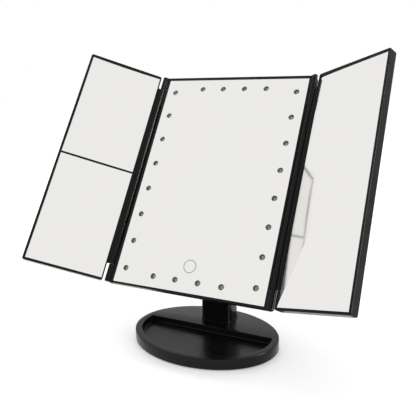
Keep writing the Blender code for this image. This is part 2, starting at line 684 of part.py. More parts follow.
def centre_frame(group, finish):
    """The thin bezel round the glass, wider behind the hinges, with knuckles and screw posts."""
    half = FRAME_HALF_WIDTH
    outline = rectangle(-half, half, FRAME_LOW, FRAME_HIGH, 1.5, 3)
    front_edge = (0.5, 2, lambda v: v.y < 0)
    span = (LIP_FRONT, FRAME_BACK)
    frame = prism("centre_frame", [outline], span, "y", group, finish, front_edge)
    low, high = FINGER_LENGTH, GLASS_HEIGHT - FINGER_LENGTH
    grooves = [rectangle(side * 95, side * LIP_SIDE, low, high) for side in (-1, 1)]
    cut(frame, prism("groove_cuts", grooves, (-THROUGH, FLANGE_FRONT), "y", group))
    half = FLANGE_HALF_WIDTH
    flange_outline = rectangle(-half, half, FRAME_LOW, FRAME_HIGH, 2.5, 3)
    flange_edge = (0.4, 1, lambda v: v.y < 5)
    flange_span = (FLANGE_FRONT, FRAME_BACK)
    join(frame, prism("flange", [flange_outline], flange_span, "y", group, None, flange_edge))
    frame_knuckles(frame, group)

    half = GLASS_HALF_WIDTH + GLASS_PLAY
    pocket = rectangle(-half, half, -GLASS_PLAY - 0.1, GLASS_HEIGHT + GLASS_PLAY + 0.1)
    sight = rectangle(-GLASS_HALF_WIDTH, GLASS_HALF_WIDTH, 0, GLASS_HEIGHT)
    cut(frame, prism("glass_pocket_cut", [pocket], (-0.1, 20), "y", group))
    cut(frame, prism("sight_cut", [sight], (-9, 20), "y", group))
    posts = []
    for x, z in PANEL_SCREWS:
        inner, outer = (math.copysign(edge, x) for edge in PANEL_POST_X)
        posts.append(rectangle(inner, outer, z - PANEL_POST_HALF, z + PANEL_POST_HALF))
    span = (PANEL_POST_FRONT, FRAME_BACK)
    join(frame, prism("panel_screw_posts", posts, span, "y", group))
    holes = prism("frame_screw_cuts", circles(1.25, PANEL_SCREWS), (4.4, 20), "y", group)
    pins = circles(PIN_HOLE_R, [(-HINGE_X, HINGE_Y), (HINGE_X, HINGE_Y)])
    low_span = (LOW_PIN[0] - PIN_PLAY[0], KNUCKLE_LOW_END + THROUGH)
    low_pins = prism("low_pin_cuts", pins, low_span, "z", group)
    high_span = (KNUCKLE_HIGH_START - THROUGH, HIGH_PIN[1] + PIN_PLAY[0])
    high_pins = prism("high_pin_cuts", pins, high_span, "z", group)
    cut(frame, holes, low_pins, high_pins)


def back_shell(group, finish):
    """The rear casing: a shallow dish with a raised housing for the control board and socket."""
    half = SHELL_HALF_WIDTH
    outline = rectangle(-half, half, FRAME_LOW + 0.6, FRAME_HIGH - 0.6, 3.0)
    back_edge = (1.4, 3, lambda v: v.y > 10)
    span = (FRAME_BACK + GAP, PANEL_BACK)
    shell = prism("back_shell", [outline], span, "y", group, finish, back_edge)
    housing_edge = (2.0, 3, lambda v: v.y > 15)
    housing_span = (DISH_BACK + GAP, HOUSING_BACK)
    housing = rectangle(*HOUSING, HOUSING_RADIUS)
    join(shell, prism("housing", [housing], housing_span, "y", group, None, housing_edge))
    left, right, low, high = HOUSING
    dish = rectangle(-83.2, 83.2, 0.4, GLASS_HEIGHT - 0.4, 2.0)
    room = rectangle(left + 2, right - 2, low + 2, high - 2, 4.0)
    deep, tall = USB_HALF[0] + 0.5, USB_HALF[1] + 0.5
    port = rectangle(USB_Y - deep, USB_Y + deep, USB_Z - tall, USB_Z + tall, 1.2, 3)
    half = VENT_HALF_WIDTH
    slots = [rectangle(-half, half, z, z + VENT_SLOT, 0.7, 2) for z in VENT_HEIGHTS]
    cut(shell, prism("dish_cut", [dish], (0, DISH_BACK), "y", group))
    cut(shell, prism("room_cut", [room], (0, HOUSING_BACK - HOUSING_WALL), "y", group))
    cut(shell, prism("port_cut", [port], (36, 50), "x", group))
    cut(shell, prism("vent_cuts", slots, (12, 30), "y", group))
    cut(shell, prism("shell_screw_cuts", circles(1.5, PANEL_SCREWS), (5, 20), "y", group))
    cut(shell, prism("shell_head_cuts", circles(2.9, PANEL_SCREWS, 16), (10.1, 20), "y", group))
    cut(shell, prism("shell_bracket_cuts", circles(1.45, BRACKET_SCREWS), (5, 20), "y", group))
    wire_hole = circles(WIRE_HOLE_R, [(0, PIVOT_UP + 15.0)], 14)
    cut(shell, prism("shell_wire_cut", wire_hole, (5, 20), "y", group))


def panel_parts(group, black, mirror, steel, nickel):
    """The middle panel's frame, glass, rear casing and screws, and the four hinge pins."""
    centre_frame(group, black)
    half = GLASS_HALF_WIDTH + 0.5
    sheet = rectangle(-half, half, -GLASS_OVERLAP, GLASS_HEIGHT + GLASS_OVERLAP, 0.8, 2)
    prism("centre_mirror", [sheet], (GLASS_FRONT, GLASS_BACK), "y", group, mirror)
    back_shell(group, black)
    for side, word in ((-1, "left"), (1, "right")):
        for end, span in (("lower", LOW_PIN), ("upper", HIGH_PIN)):
            pin_at = (side * HINGE_X, HINGE_Y)
            round_bar(f"{word}_hinge_pin_{end}", pin_at, PIN_R, span, "z", group, steel, 12)
    for number, (x, z) in enumerate(PANEL_SCREWS, 1):
        head = (x, PANEL_BACK + 0.2, z)
        screw(f"panel_screw_{number}", head, -1, "y", PANEL_SCREW, group, nickel)


# ------------------------------------------------------------------------------------- lights


def led_places():
    """Where the lights sit, by strip: two columns and two rows."""
    step = (LED_HIGH_Z - LED_LOW_Z) / (LEDS_PER_COLUMN - 1)
    heights = [LED_LOW_Z + step * i for i in range(LEDS_PER_COLUMN)]
    across = [(i - (LEDS_PER_ROW - 1) / 2) * LED_ROW_SPACING for i in range(LEDS_PER_ROW)]
    return {
        "led_strip_left": [(-LED_COLUMN_X, z) for z in heights],
        "led_strip_right": [(LED_COLUMN_X, z) for z in heights],
        "led_strip_top": [(x, LED_HIGH_Z + LED_ROW_STEP) for x in across],
        "led_strip_bottom": [(x, LED_LOW_Z - LED_ROW_STEP) for x in across],
    }


def mask_plate(group, finish):
    """The light-tight plate behind the glass, open over each light and the touch pad."""
    outline = rectangle(-76.8, 76.8, 3.0, GLASS_HEIGHT - 3.0, 2.0)
    plate = prism("led_mask_plate", [outline], MASK, "y", group, finish)
    places = [place for strip in led_places().values() for place in strip]
    cut(plate, prism("window_cuts", circles(LED_WINDOW_R, places, 14), (0, 9), "y", group))
    cut(plate, round_bar("touch_cut", (0, TOUCH_Z), TOUCH_R + 1.4, (0, 9), "y", group, sides=24))


def led_strip(name, places, group, finish):
    """One strip of board with its light packages."""
    xs, zs = zip(*places)
    outline = rectangle(min(xs) - 4.2, max(xs) + 4.2, min(zs) - 3.4, max(zs) + 3.4)
    board = prism(name, [outline], BOARD, "y", group, finish)
    across, up = LED_HALF
    packages = [rectangle(x - across, x + across, z - up, z + up) for x, z in places]
    front_edge = (0.25, 1, lambda v: v.y < LED_FRONT + 0.2)
    span = (LED_FRONT, BOARD[0] + 0.2)
    join(board, prism(name + "_packages", packages, span, "y", group, None, front_edge))


def light_parts(group, board, black, copper):
    """The mask plate, the four light strips and the touch sensor's pad."""
    mask_plate(group, black)
    for name, places in led_places().items():
        led_strip(name, places, group, board)
    round_bar("touch_sensor", (0, TOUCH_Z), TOUCH_R, (MASK[0], 4.2), "y", group, copper, 32)


def board_parts(group, board, nickel):
    """The control board in the rear housing, with what is soldered to it, and the socket."""
    outline = rectangle(*CONTROL_BOARD, 1.0)
    main_board = prism("control_board", [outline], CONTROL_BOARD_DEPTH, "y", group, board)
    rear = CONTROL_BOARD_DEPTH[1]
    root = rear - GAP
    chip = box("chip", (-8, root, 160), (4, rear + 1.6, 170), group)
    plug_block = box("lead_connector", (-16, root, 141), (-6, rear + 3.2, 147), group)
    inductor_span, capacitor_span = (root, rear + 3.0), (root, rear + 3.4)
    inductor = round_bar("inductor", (16, 178), 5.0, inductor_span, "y", group, soft=(0.5, 2))
    capacitor = round_bar("capacitor", (-22, 176), 3.2, capacitor_span, "y", group, soft=(0.4, 2))
    join(main_board, chip, inductor, capacitor, plug_block)
    (near, far), (deep, tall) = USB_SPAN, USB_HALF
    low, high = (near, USB_Y - deep, USB_Z - tall), (far, USB_Y + deep, USB_Z + tall)
    socket = box("usb_socket", low, high, group, nickel, (0.5, 2))
    deep, tall = deep - USB_WALL, tall - USB_WALL
    low, high = (near + 1.0, USB_Y - deep, USB_Z - tall), (far + 9, USB_Y + deep, USB_Z + tall)
    cut(socket, box("usb_mouth_cut", low, high, group))


# -------------------------------------------------------------------------------------- wings


def wing_frame(name, group, finish, divided):
    """A wing's moulded tray and hinge barrel, with a bar between two mirrors if it is divided."""
    outline = rectangle(WING_INNER, WING_OUTER, WING_LOW, WING_HIGH, 2.0, 4)
    frame = prism(name, [outline], (WING_LIP, WING_BACK), "y", group, finish, (0.35, 2))
    inner, outer = WING_INNER + WING_WALL, WING_OUTER - WING_WALL
    pocket = rectangle(inner, outer, -0.9, GLASS_HEIGHT + 0.9, 0.5, 2)
    sight = rectangle(WING_GLASS_INNER, WING_GLASS_OUTER, WING_GLASS_LOW, WING_GLASS_HIGH)
    cut(frame, prism(name + "_pocket_cut", [pocket], (WING_GLASS_FRONT - 0.1, 20), "y", group))
    cut(frame, prism(name + "_sight_cut", [sight], (-5, 20), "y", group))
    if divided:
        bar_low = (inner - 0.5, WING_LIP + 0.2, DIVIDER_Z - DIVIDER_HALF)
        bar_high = (outer + 0.5, DIVIDER_BACK, DIVIDER_Z + DIVIDER_HALF)
        join(frame, box(name + "_divider", bar_low, bar_high, group))
    low, high = KNUCKLE_LOW_END + GAP, KNUCKLE_HIGH_START - GAP
    stop, start = FINGER_LENGTH, GLASS_HEIGHT - FINGER_LENGTH
    web = box(name + "_web", (0.6, 0.2, low), (WING_INNER + 0.5, 2.2, high), group)
    pin = (0, 0)
    tube = round_bar(name + "_tube", pin, HINGE_TUBE_R, (stop - 2, start + 2), "z", group)
    join(frame, web, tube)
    for end, span in (("low", (low, stop)), ("high", (start, high))):
        knuckle_name = f"{name}_knuckle_{end}"
        join(frame, round_bar(knuckle_name, pin, HINGE_KNUCKLE_R, span, "z", group, soft=(0.3, 2)))
    hole = circles(PIN_HOLE_R, [pin])
    low_span = (low - THROUGH, LOW_PIN[1] + PIN_PLAY[1])
    high_span = (HIGH_PIN[0] - PIN_PLAY[1], high + THROUGH)
    cut(frame, prism(name + "_low_pin_cut", hole, low_span, "z", group))
    cut(frame, prism(name + "_high_pin_cut", hole, high_span, "z", group))


def pressed_mirror(name, heights, radius, group, finish):
    """A magnifying mirror: a thin sheet pressed to a sphere, its corners level with a flat one's."""
    low, high = heights
    left, right = WING_INNER + SHEET_INSET, WING_OUTER - SHEET_INSET
    form = bmesh.new()
    bmesh.ops.create_grid(form, x_segments=8, y_segments=10, size=0.5)
    bmesh.ops.scale(form, vec=(right - left, high - low, 1), verts=form.verts)
    corner = math.hypot((right - left) / 2, (high - low) / 2)
    for v in form.verts:
        v.co.z = (v.co.xy.length_squared - corner**2) / (2 * radius)
    pushed = bmesh.ops.extrude_face_region(form, geom=form.faces[:])["geom"]
    moved = [v for v in pushed if isinstance(v, bmesh.types.BMVert)]
    bmesh.ops.translate(form, vec=(0, 0, -PRESSED_THICKNESS), verts=moved)
    bmesh.ops.rotate(form, matrix=Matrix.Rotation(math.pi / 2, 3, "X"), verts=form.verts)
    middle = ((left + right) / 2, WING_GLASS_FRONT, (low + high) / 2)
    bmesh.ops.translate(form, vec=middle, verts=form.verts)
    group.add(name, form, finish)


def wing_parts(word, group, black, mirror, divided):
    """A wing: its frame, its mirror or mirrors, and the flush cover behind them."""
    wing_frame(f"{word}_wing_frame", group, black, divided)
    low, high = -GLASS_OVERLAP, GLASS_HEIGHT + GLASS_OVERLAP
    left, right = WING_INNER + SHEET_INSET, WING_OUTER - SHEET_INSET
    if divided:
        gap = DIVIDER_HALF + 0.2
        upper, lower = (DIVIDER_Z + gap, high), (low, DIVIDER_Z - gap)
        pressed_mirror(f"{word}_mirror_upper", upper, UPPER_MIRROR_RADIUS, group, mirror)
        pressed_mirror(f"{word}_mirror_lower", lower, LOWER_MIRROR_RADIUS, group, mirror)
    else:
        sheet = rectangle(left, right, low, high, 0.8, 2)
        span = (WING_GLASS_FRONT, WING_GLASS_FRONT + 2.0)
        prism(f"{word}_mirror", [sheet], span, "y", group, mirror)
    plate = rectangle(left, right, low, high, 1.0, 2)
    back_edge = (0.3, 1, lambda v: v.y > 9)
    prism(f"{word}_back_cover", [plate], (WING_COVER_FRONT, WING_BACK - 0.1), "y", group, black, back_edge)


# ------------------------------------------------------------------------------------- object


def main():
    """Clears the scene and builds every piece."""
    for thing in list(bpy.data.objects):
        bpy.data.objects.remove(thing)
    black = material("moulded black ABS", (0.012, 0.012, 0.013), 0.28)
    mirror = material("silvered glass", (0.86, 0.87, 0.87), 0.03, 1.0)
    steel = material("steel", (0.45, 0.45, 0.46), 0.4, 1.0)
    zinc = material("zinc-plated steel", (0.6, 0.61, 0.62), 0.3, 1.0)
    nickel = material("nickel-plated steel", (0.66, 0.65, 0.62), 0.25, 1.0)
    foam = material("black EVA foam", (0.02, 0.02, 0.02), 0.9)
    sleeve = material("cell sleeve", (0.03, 0.07, 0.12), 0.4)
    board = material("circuit board", (0.015, 0.09, 0.04), 0.45)
    copper = material("copper foil", (0.75, 0.4, 0.25), 0.35, 1.0)

    stand = Group()
    tilt_turn = (math.radians(-TILT_AT_REST), 0, 0)
    tilt_axis = empty("tilt_axis", (0, COLUMN_Y, PIVOT_Z), turn=tilt_turn)
    panel = Group(tilt_axis, (0, -PIVOT_DEPTH, -PIVOT_UP))
    wings = {}
    for word, side, angle in (("left", -1, LEFT_WING_AT_REST), ("right", 1, RIGHT_WING_AT_REST)):
        place = (side * HINGE_X, HINGE_Y - PIVOT_DEPTH, -PIVOT_UP)
        axis = empty(f"{word}_wing_axis", place, tilt_axis, (0, 0, math.radians(-side * angle)))
        wings[word] = Group(axis, side=side)

    base_shell(stand, black)
    base_cover(stand, black)
    ballast(stand, steel)
    foam_pad(stand, foam)
    base_screws(stand, zinc)
    column_shell(stand, black)
    battery_cover(stand, black)
    battery_parts(stand, sleeve, nickel)
    pivot_bracket(panel, black)
    pivot_hardware(panel, black, steel, zinc)
    panel_parts(panel, black, mirror, steel, nickel)
    light_parts(panel, board, black, copper)
    board_parts(panel, board, nickel)
    wing_parts("left", wings["left"], black, mirror, True)
    wing_parts("right", wings["right"], black, mirror, False)


main()
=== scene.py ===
"""Looks of the tri-fold lighted vanity mirror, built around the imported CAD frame.

Drawings are in millimetres. The stand is drawn in the row frame. The panel is drawn from the middle of
the lower edge of its glass: x across, y into the panel, z up the glass. A wing is drawn from its hinge
pin: x outward, y into the wing, z as on the panel. A Placement turns each drawing to metres at rest.
"""

import json
import logging
import math
from dataclasses import dataclass, field
from enum import Enum
from typing import Callable, Iterable, Optional

import bmesh
import bpy
from bmesh.types import BMEdge, BMesh, BMVert
from bpy.types import ID, Material, Node, NodeSocket, NodeTree, Object
from mathutils import Matrix, Vector

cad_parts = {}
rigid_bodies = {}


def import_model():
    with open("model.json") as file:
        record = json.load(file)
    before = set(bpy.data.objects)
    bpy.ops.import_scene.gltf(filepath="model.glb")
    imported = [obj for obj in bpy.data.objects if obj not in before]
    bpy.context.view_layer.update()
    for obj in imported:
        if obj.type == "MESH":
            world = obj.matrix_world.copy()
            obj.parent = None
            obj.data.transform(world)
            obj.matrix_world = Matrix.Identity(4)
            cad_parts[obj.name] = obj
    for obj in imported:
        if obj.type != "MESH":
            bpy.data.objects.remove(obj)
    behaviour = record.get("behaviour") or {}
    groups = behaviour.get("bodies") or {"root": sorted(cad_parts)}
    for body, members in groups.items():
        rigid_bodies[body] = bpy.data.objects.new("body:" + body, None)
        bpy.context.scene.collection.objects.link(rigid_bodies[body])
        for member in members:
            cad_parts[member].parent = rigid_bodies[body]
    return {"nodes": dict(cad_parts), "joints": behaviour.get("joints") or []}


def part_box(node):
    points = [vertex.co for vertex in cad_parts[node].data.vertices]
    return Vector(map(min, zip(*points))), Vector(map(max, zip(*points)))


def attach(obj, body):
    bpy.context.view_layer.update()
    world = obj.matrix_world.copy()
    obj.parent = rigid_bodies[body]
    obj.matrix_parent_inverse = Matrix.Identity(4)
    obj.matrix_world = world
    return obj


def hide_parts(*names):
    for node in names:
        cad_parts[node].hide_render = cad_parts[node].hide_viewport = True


for leftover in list(bpy.data.objects):
    bpy.data.objects.remove(leftover)
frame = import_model()

log = logging.getLogger("vanity_mirror")
MM = 0.001
NOISE_SPAN = (0.3, 0.7)  # most of a noise's values lie between these
SMOOTH = 32.0  # degrees: faces that meet at less than this shade as one
CORNER_STEPS = 6  # segments in a rounded corner
EDGE_STEPS = 2  # segments in a small softened edge
TINY = 1e-6
UPRIGHT = Matrix.Rotation(math.pi / 2, 4, "X")


class Body(Enum):
    """The CAD bodies that pieces ride on."""

    STAND = "stand"
    DOOR = "battery_door"
    PANEL = "mirror_panel"
    LEFT = "left_wing"
    RIGHT = "right_wing"


class Slot(Enum):
    """The record's material slots, which each new piece names but which nothing uses."""

    ABS = "black_abs"
    MIRROR = "mirror_glass"
    ZINC = "zinc_steel"
    NICKEL = "nickel_steel"
    HINGE = "hinge_steel"
    CELL = "cell_wrap"
    BOARD = "circuit_board"
    COPPER = "copper_foil"


class Side(Enum):
    """The two wings, as the user sees them. The value is the sign of x."""

    LEFT = -1
    RIGHT = 1

    @property
    def word(self) -> str:
        """The word that starts the side's node names."""
        return self.name.lower()

    @property
    def body(self) -> Body:
        """The CAD body of the side's wing."""
        return Body.LEFT if self is Side.LEFT else Body.RIGHT


# ---- finishes


def linear(code: str) -> tuple[float, float, float, float]:
    """Turns an sRGB hex colour to the linear one that shaders take.

    Args:
        code: Six hex digits after a number sign.

    Returns:
        Red, green, blue and an alpha of one.
    """
    shares = [int(code[i : i + 2], 16) / 255 for i in (1, 3, 5)]
    tones = [s / 12.92 if s <= 0.04045 else ((s + 0.055) / 1.055) ** 2.4 for s in shares]
    return (*tones, 1.0)


def per_metre(size_mm: float) -> float:
    """The texture scale at which one feature is size_mm across, on Object coordinates in metres."""
    return 1.0 / (size_mm * MM)


def add_node(tree: NodeTree, kind: str, links: Optional[dict] = None, **settings: object) -> Node:
    """Adds a node with its settings and its inputs.

    Args:
        tree: The material's node tree.
        kind: The node's type.
        links: Input name or number to a value or to another node's output.
        **settings: The node's own properties.

    Returns:
        The new node.
    """
    node = tree.nodes.new(kind)
    for key, value in settings.items():
        setattr(node, key, value)
    for key, value in (links or {}).items():
        if isinstance(value, NodeSocket):
            tree.links.new(value, node.inputs[key])
        else:
            node.inputs[key].default_value = value
    return node


@dataclass(frozen=True)
class Surface:
    """A material while it is being made: its nodes, shader, Object coordinates and main colour."""

    tree: NodeTree
    shader: Node
    place: NodeSocket
    colour: str

    def put(self, socket: str, value: object) -> None:
        """Sets one of the shader's own sockets."""
        self.shader.inputs[socket].default_value = value

    def noise(self, size_mm: float, detail: float = 2.0, drawn: float = 1.0) -> NodeSocket:
        """Adds a noise.

        Args:
            size_mm: The size of its features.
            detail: How fine their outlines are.
            drawn: How much z counts. Less than 1 draws the features out along z.

        Returns:
            Its value, from 0 to 1.
        """
        place = self.place
        if drawn < 1.0:
            inputs = {"Vector": place, "Scale": (1.0, 1.0, drawn)}
            place = add_node(self.tree, "ShaderNodeMapping", inputs).outputs[0]
        inputs = {"Vector": place, "Scale": per_metre(size_mm), "Detail": detail}
        return add_node(self.tree, "ShaderNodeTexNoise", inputs).outputs[0]

    def vary_colour(self, share: NodeSocket, other: str) -> None:
        """Runs the base colour from the main one to another, by a share from 0 to 1."""
        inputs = {0: share, 6: linear(self.colour), 7: linear(other)}
        mix = add_node(self.tree, "ShaderNodeMix", inputs, data_type="RGBA")
        self.tree.links.new(mix.outputs[2], self.shader.inputs["Base Color"])

    def vary_roughness(self, share: NodeSocket, low: float, high: float) -> None:
        """Runs the roughness from low to high, by a noise."""
        inputs = {0: share, 1: NOISE_SPAN[0], 2: NOISE_SPAN[1], 3: low, 4: high}
        spread = add_node(self.tree, "ShaderNodeMapRange", inputs)
        self.tree.links.new(spread.outputs[0], self.shader.inputs["Roughness"])

    def emboss(self, height: NodeSocket, depth_mm: float) -> None:
        """Turns a height from 0 to 1 to relief of depth_mm."""
        inputs = {"Strength": 1.0, "Distance": depth_mm * MM, "Height": height}
        bump = add_node(self.tree, "ShaderNodeBump", inputs)
        self.tree.links.new(bump.outputs[0], self.shader.inputs["Normal"])


@dataclass(frozen=True)
class Finish:
    """A surface as its maker would name it. Each kind adds its own nodes in dress()."""

    name: str
    colour: str
    roughness: float = 0.5

    def material(self) -> Material:
        """Gives the finish's material, made the first time it is asked for."""
        made = bpy.data.materials.get(self.name)
        if made is None:
            made = bpy.data.materials.new(self.name)
            made.use_nodes = True
            tree = made.node_tree
            place = add_node(tree, "ShaderNodeTexCoord").outputs["Object"]
            surface = Surface(tree, tree.nodes["Principled BSDF"], place, self.colour)
            surface.put("Base Color", linear(self.colour))
            surface.put("Roughness", self.roughness)
            self.dress(surface)
        return made

    def dress(self, on: Surface) -> None:
        """Adds the finish's own nodes."""
        raise NotImplementedError


@dataclass(frozen=True)
class MouldedAbs(Finish):
    """Injection-moulded ABS: a soft sheen with a faint grain from the mould and patches from handling."""

    grain_mm: float = 0.5  # a real spark-eroded grain is near 0.1 mm, drawn coarser so that it shows
    relief_mm: float = 0.0008
    handled_mm: float = 14.0
    sheen_spread: float = 0.05
    worn: str = "#0e0e10"
    specular: float = 0.2  # the carbon black in the skin dulls its reflection
    ior: float = 1.53

    def dress(self, on: Surface) -> None:
        """Adds the mould's grain and the handled patches."""
        on.put("IOR", self.ior)
        on.put("Specular IOR Level", self.specular)
        handled = on.noise(self.handled_mm, 3.0)
        on.vary_roughness(handled, self.roughness - self.sheen_spread, self.roughness + self.sheen_spread)
        on.vary_colour(handled, self.worn)
        on.emboss(on.noise(self.grain_mm), self.relief_mm)


@dataclass(frozen=True)
class SilveredGlass(Finish):
    """Float glass silvered behind: a clean reflection with the faintest wipe marks."""

    wipe_mm: float = 30.0
    wipe_share: float = 0.35  # the wipes run up the glass
    wiped: str = "#f5f4f2"
    wiped_roughness: float = 0.09

    def dress(self, on: Surface) -> None:
        """Adds the silver and the wipe marks."""
        on.put("Metallic", 1.0)
        wipes = on.noise(self.wipe_mm, 4.0, self.wipe_share)
        on.vary_roughness(wipes, self.roughness, self.wiped_roughness)
        on.vary_colour(wipes, self.wiped)


@dataclass(frozen=True)
class ClearGlass(Finish):
    """The unsilvered rounds of the mirror, which the lights show through."""

    dust_mm: float = 1.5
    ior: float = 1.52

    def dress(self, on: Surface) -> None:
        """Makes it clear, with a trace of dust."""
        on.put("Transmission Weight", 1.0)
        on.put("IOR", self.ior)
        on.vary_roughness(on.noise(self.dust_mm), 0.0, self.roughness)


@dataclass(frozen=True)
class EtchedLine(Finish):
    """A line etched in the silvering: frosted, so that it scatters light."""

    frost_mm: float = 0.3
    relief_mm: float = 0.01
    frosted: str = "#8f9192"

    def dress(self, on: Surface) -> None:
        """Adds the frost."""
        frost = on.noise(self.frost_mm, 1.0)
        on.vary_colour(frost, self.frosted)
        on.emboss(frost, self.relief_mm)


@dataclass(frozen=True)
class WorkedMetal(Finish):
    """Steel as sheet, wire or screws. Lines along z stand for rolling or drawing marks."""

    tint: str = "#8d8f92"
    line_mm: float = 0.4
    line_share: float = 0.06
    relief_mm: float = 0.006
    mottle_mm: float = 3.0
    brighter: float = 0.08  # how far the mottle takes the roughness down, and up
    duller: float = 0.1

    def dress(self, on: Surface) -> None:
        """Adds the metal, its plating mottle and its drawn lines."""
        on.put("Metallic", 1.0)
        mottle = on.noise(self.mottle_mm, 3.0)
        on.vary_colour(mottle, self.tint)
        on.vary_roughness(mottle, self.roughness - self.brighter, self.roughness + self.duller)
        on.emboss(on.noise(self.line_mm, drawn=self.line_share), self.relief_mm)


@dataclass(frozen=True)
class ClosedCellFoam(Finish):
    """EVA foam sheet: dull and pitted by its cut cells."""

    cell_mm: float = 0.9
    relief_mm: float = 0.12
    # the rims between the cut cells take this colour; towards the bottom of each pit it runs back to the
    # darker main colour
    rubbed: str = "#2a2a2c"
    specular: float = 0.25

    def dress(self, on: Surface) -> None:
        """Adds the cut cells, darker towards the bottom of each pit and lighter on the rims between them."""
        on.put("Specular IOR Level", self.specular)
        inputs = {"Vector": on.place, "Scale": per_metre(self.cell_mm)}
        cells = add_node(on.tree, "ShaderNodeTexVoronoi", inputs).outputs["Distance"]
        on.vary_colour(cells, self.rubbed)
        on.emboss(cells, self.relief_mm)


@dataclass(frozen=True)
class SolderMask(Finish):
    """Fibreglass board under green lacquer, with the copper tracks showing as paler lanes."""

    track: str = "#2f6b45"
    track_mm: float = 2.2
    gap_share: float = 0.12
    relief_mm: float = 0.03
    lacquer: float = 0.4

    def dress(self, on: Surface) -> None:
        """Adds the tracks and the lacquer's gloss."""
        inputs = {"Vector": on.place, "Scale": per_metre(self.track_mm), "Mortar Size": self.gap_share}
        lanes = add_node(on.tree, "ShaderNodeTexBrick", inputs).outputs["Fac"]
        on.vary_colour(lanes, self.track)
        on.emboss(lanes, self.relief_mm)
        on.put("Coat Weight", self.lacquer)


@dataclass(frozen=True)
class RolledFoil(Finish):
    """Copper foil, bare, with the streaks of its rolling."""

    streak_mm: float = 1.1
    streaked: str = "#a8643f"
    brightest: float = 0.25
    dullest: float = 0.5

    def dress(self, on: Surface) -> None:
        """Adds the metal and its streaks."""
        on.put("Metallic", 1.0)
        streaks = on.noise(self.streak_mm, 4.0)
        on.vary_colour(streaks, self.streaked)
        on.vary_roughness(streaks, self.brightest, self.dullest)


@dataclass(frozen=True)
class MouldedResin(Finish):
    """Small parts of an electronic board: moulded resin, or the silicone and phosphor of a light."""

    speck: str = "#000000"
    speck_mm: float = 0.5
    relief_mm: float = 0.01

    def dress(self, on: Surface) -> None:
        """Adds its specks and their slight relief."""
        specks = on.noise(self.speck_mm)
        on.vary_colour(specks, self.speck)
        on.emboss(specks, self.relief_mm)


@dataclass(frozen=True)
class CellSleeve(Finish):
    """The shrunk sleeve of a dry cell: dark, with a coppery band at the positive end."""

    band_from: float = 0.0  # the band's two ends, as heights in metres
    band_to: float = 0.0
    band: str = "#b07a3c"
    wrinkle_mm: float = 2.5
    relief_mm: float = 0.02

    def dress(self, on: Surface) -> None:
        """Adds the band and the sleeve's shrink wrinkles."""
        height = add_node(on.tree, "ShaderNodeSeparateXYZ", {0: on.place}).outputs[2]
        above = add_node(on.tree, "ShaderNodeMath", {0: height, 1: self.band_from}, operation="GREATER_THAN")
        below = add_node(on.tree, "ShaderNodeMath", {0: height, 1: self.band_to}, operation="LESS_THAN")
        inputs = {0: above.outputs[0], 1: below.outputs[0]}
        inside = add_node(on.tree, "ShaderNodeMath", inputs, operation="MULTIPLY").outputs[0]
        on.vary_colour(inside, self.band)
        on.emboss(on.noise(self.wrinkle_mm), self.relief_mm)


@dataclass(frozen=True)
class StudioFloor(Finish):
    """Matte white studio paper."""

    fibre_mm: float = 2.0
    relief_mm: float = 0.002
    glow: float = 0.22  # lights the paper a little from within, so that no horizon shows

    def dress(self, on: Surface) -> None:
        """Adds the paper's tooth and its glow."""
        on.emboss(on.noise(self.fibre_mm), self.relief_mm)
        on.put("Specular IOR Level", 0.0)
        on.put("Emission Color", linear("#ffffff"))
        on.put("Emission Strength", self.glow)


GLOSS_ABS = MouldedAbs("moulded ABS semi-gloss black", "#08080a", 0.2, specular=0.14)
TRAY_ABS = MouldedAbs("moulded ABS tray black", "#09090a", 0.25, specular=0.17)
SATIN_ABS = MouldedAbs("moulded ABS satin black", "#0c0c0d", 0.42, relief_mm=0.006, worn="#161618")
MATTE_ABS = MouldedAbs("moulded ABS inner matte black", "#131314", 0.6, relief_mm=0.01, worn="#1b1b1d")
MIRROR = SilveredGlass("silvered float glass", "#f8f7f4", 0.08)
WINDOW = ClearGlass("clear float glass", "#f4fbf7", 0.05)
ETCHED = EtchedLine("etched silvering", "#a7a8a8", 0.6)
FOAM = ClosedCellFoam("EVA foam sheet", "#1a1a1b", 0.95)
SHEET_STEEL = WorkedMetal("sheared steel plate", "#a2a3a5", 0.42, tint="#86888a", mottle_mm=6.0)
ZINC = WorkedMetal("zinc-plated steel", "#c7cacc", 0.3, tint="#a9adb2")
BLACKED = WorkedMetal("blackened steel screw", "#3a3b3d", 0.36, tint="#2a2a2c")
NICKEL = WorkedMetal("nickel-plated steel", "#d2cec6", 0.22, tint="#b9b4ab")
WIRE_STEEL = WorkedMetal("drawn hinge steel", "#aeb0b2", 0.3, line_mm=0.25)
BOARD = SolderMask("green solder mask", "#12402a", 0.35)
STRIP = SolderMask("grey-green solder mask", "#46514b", 0.4, track="#59655e")
COPPER = RolledFoil("rolled copper foil", "#c98a63", 0.35)
PACKAGE = MouldedResin("light package white resin", "#d9dccb", 0.4, speck="#c5c9b4")
PHOSPHOR = MouldedResin("yellow phosphor silicone", "#c6cf4a", 0.25, speck="#aeb83a", speck_mm=0.3)
CHIP = MouldedResin("black chip resin", "#1c1c1e", 0.55, speck="#2b2b2e")


# ---- placement


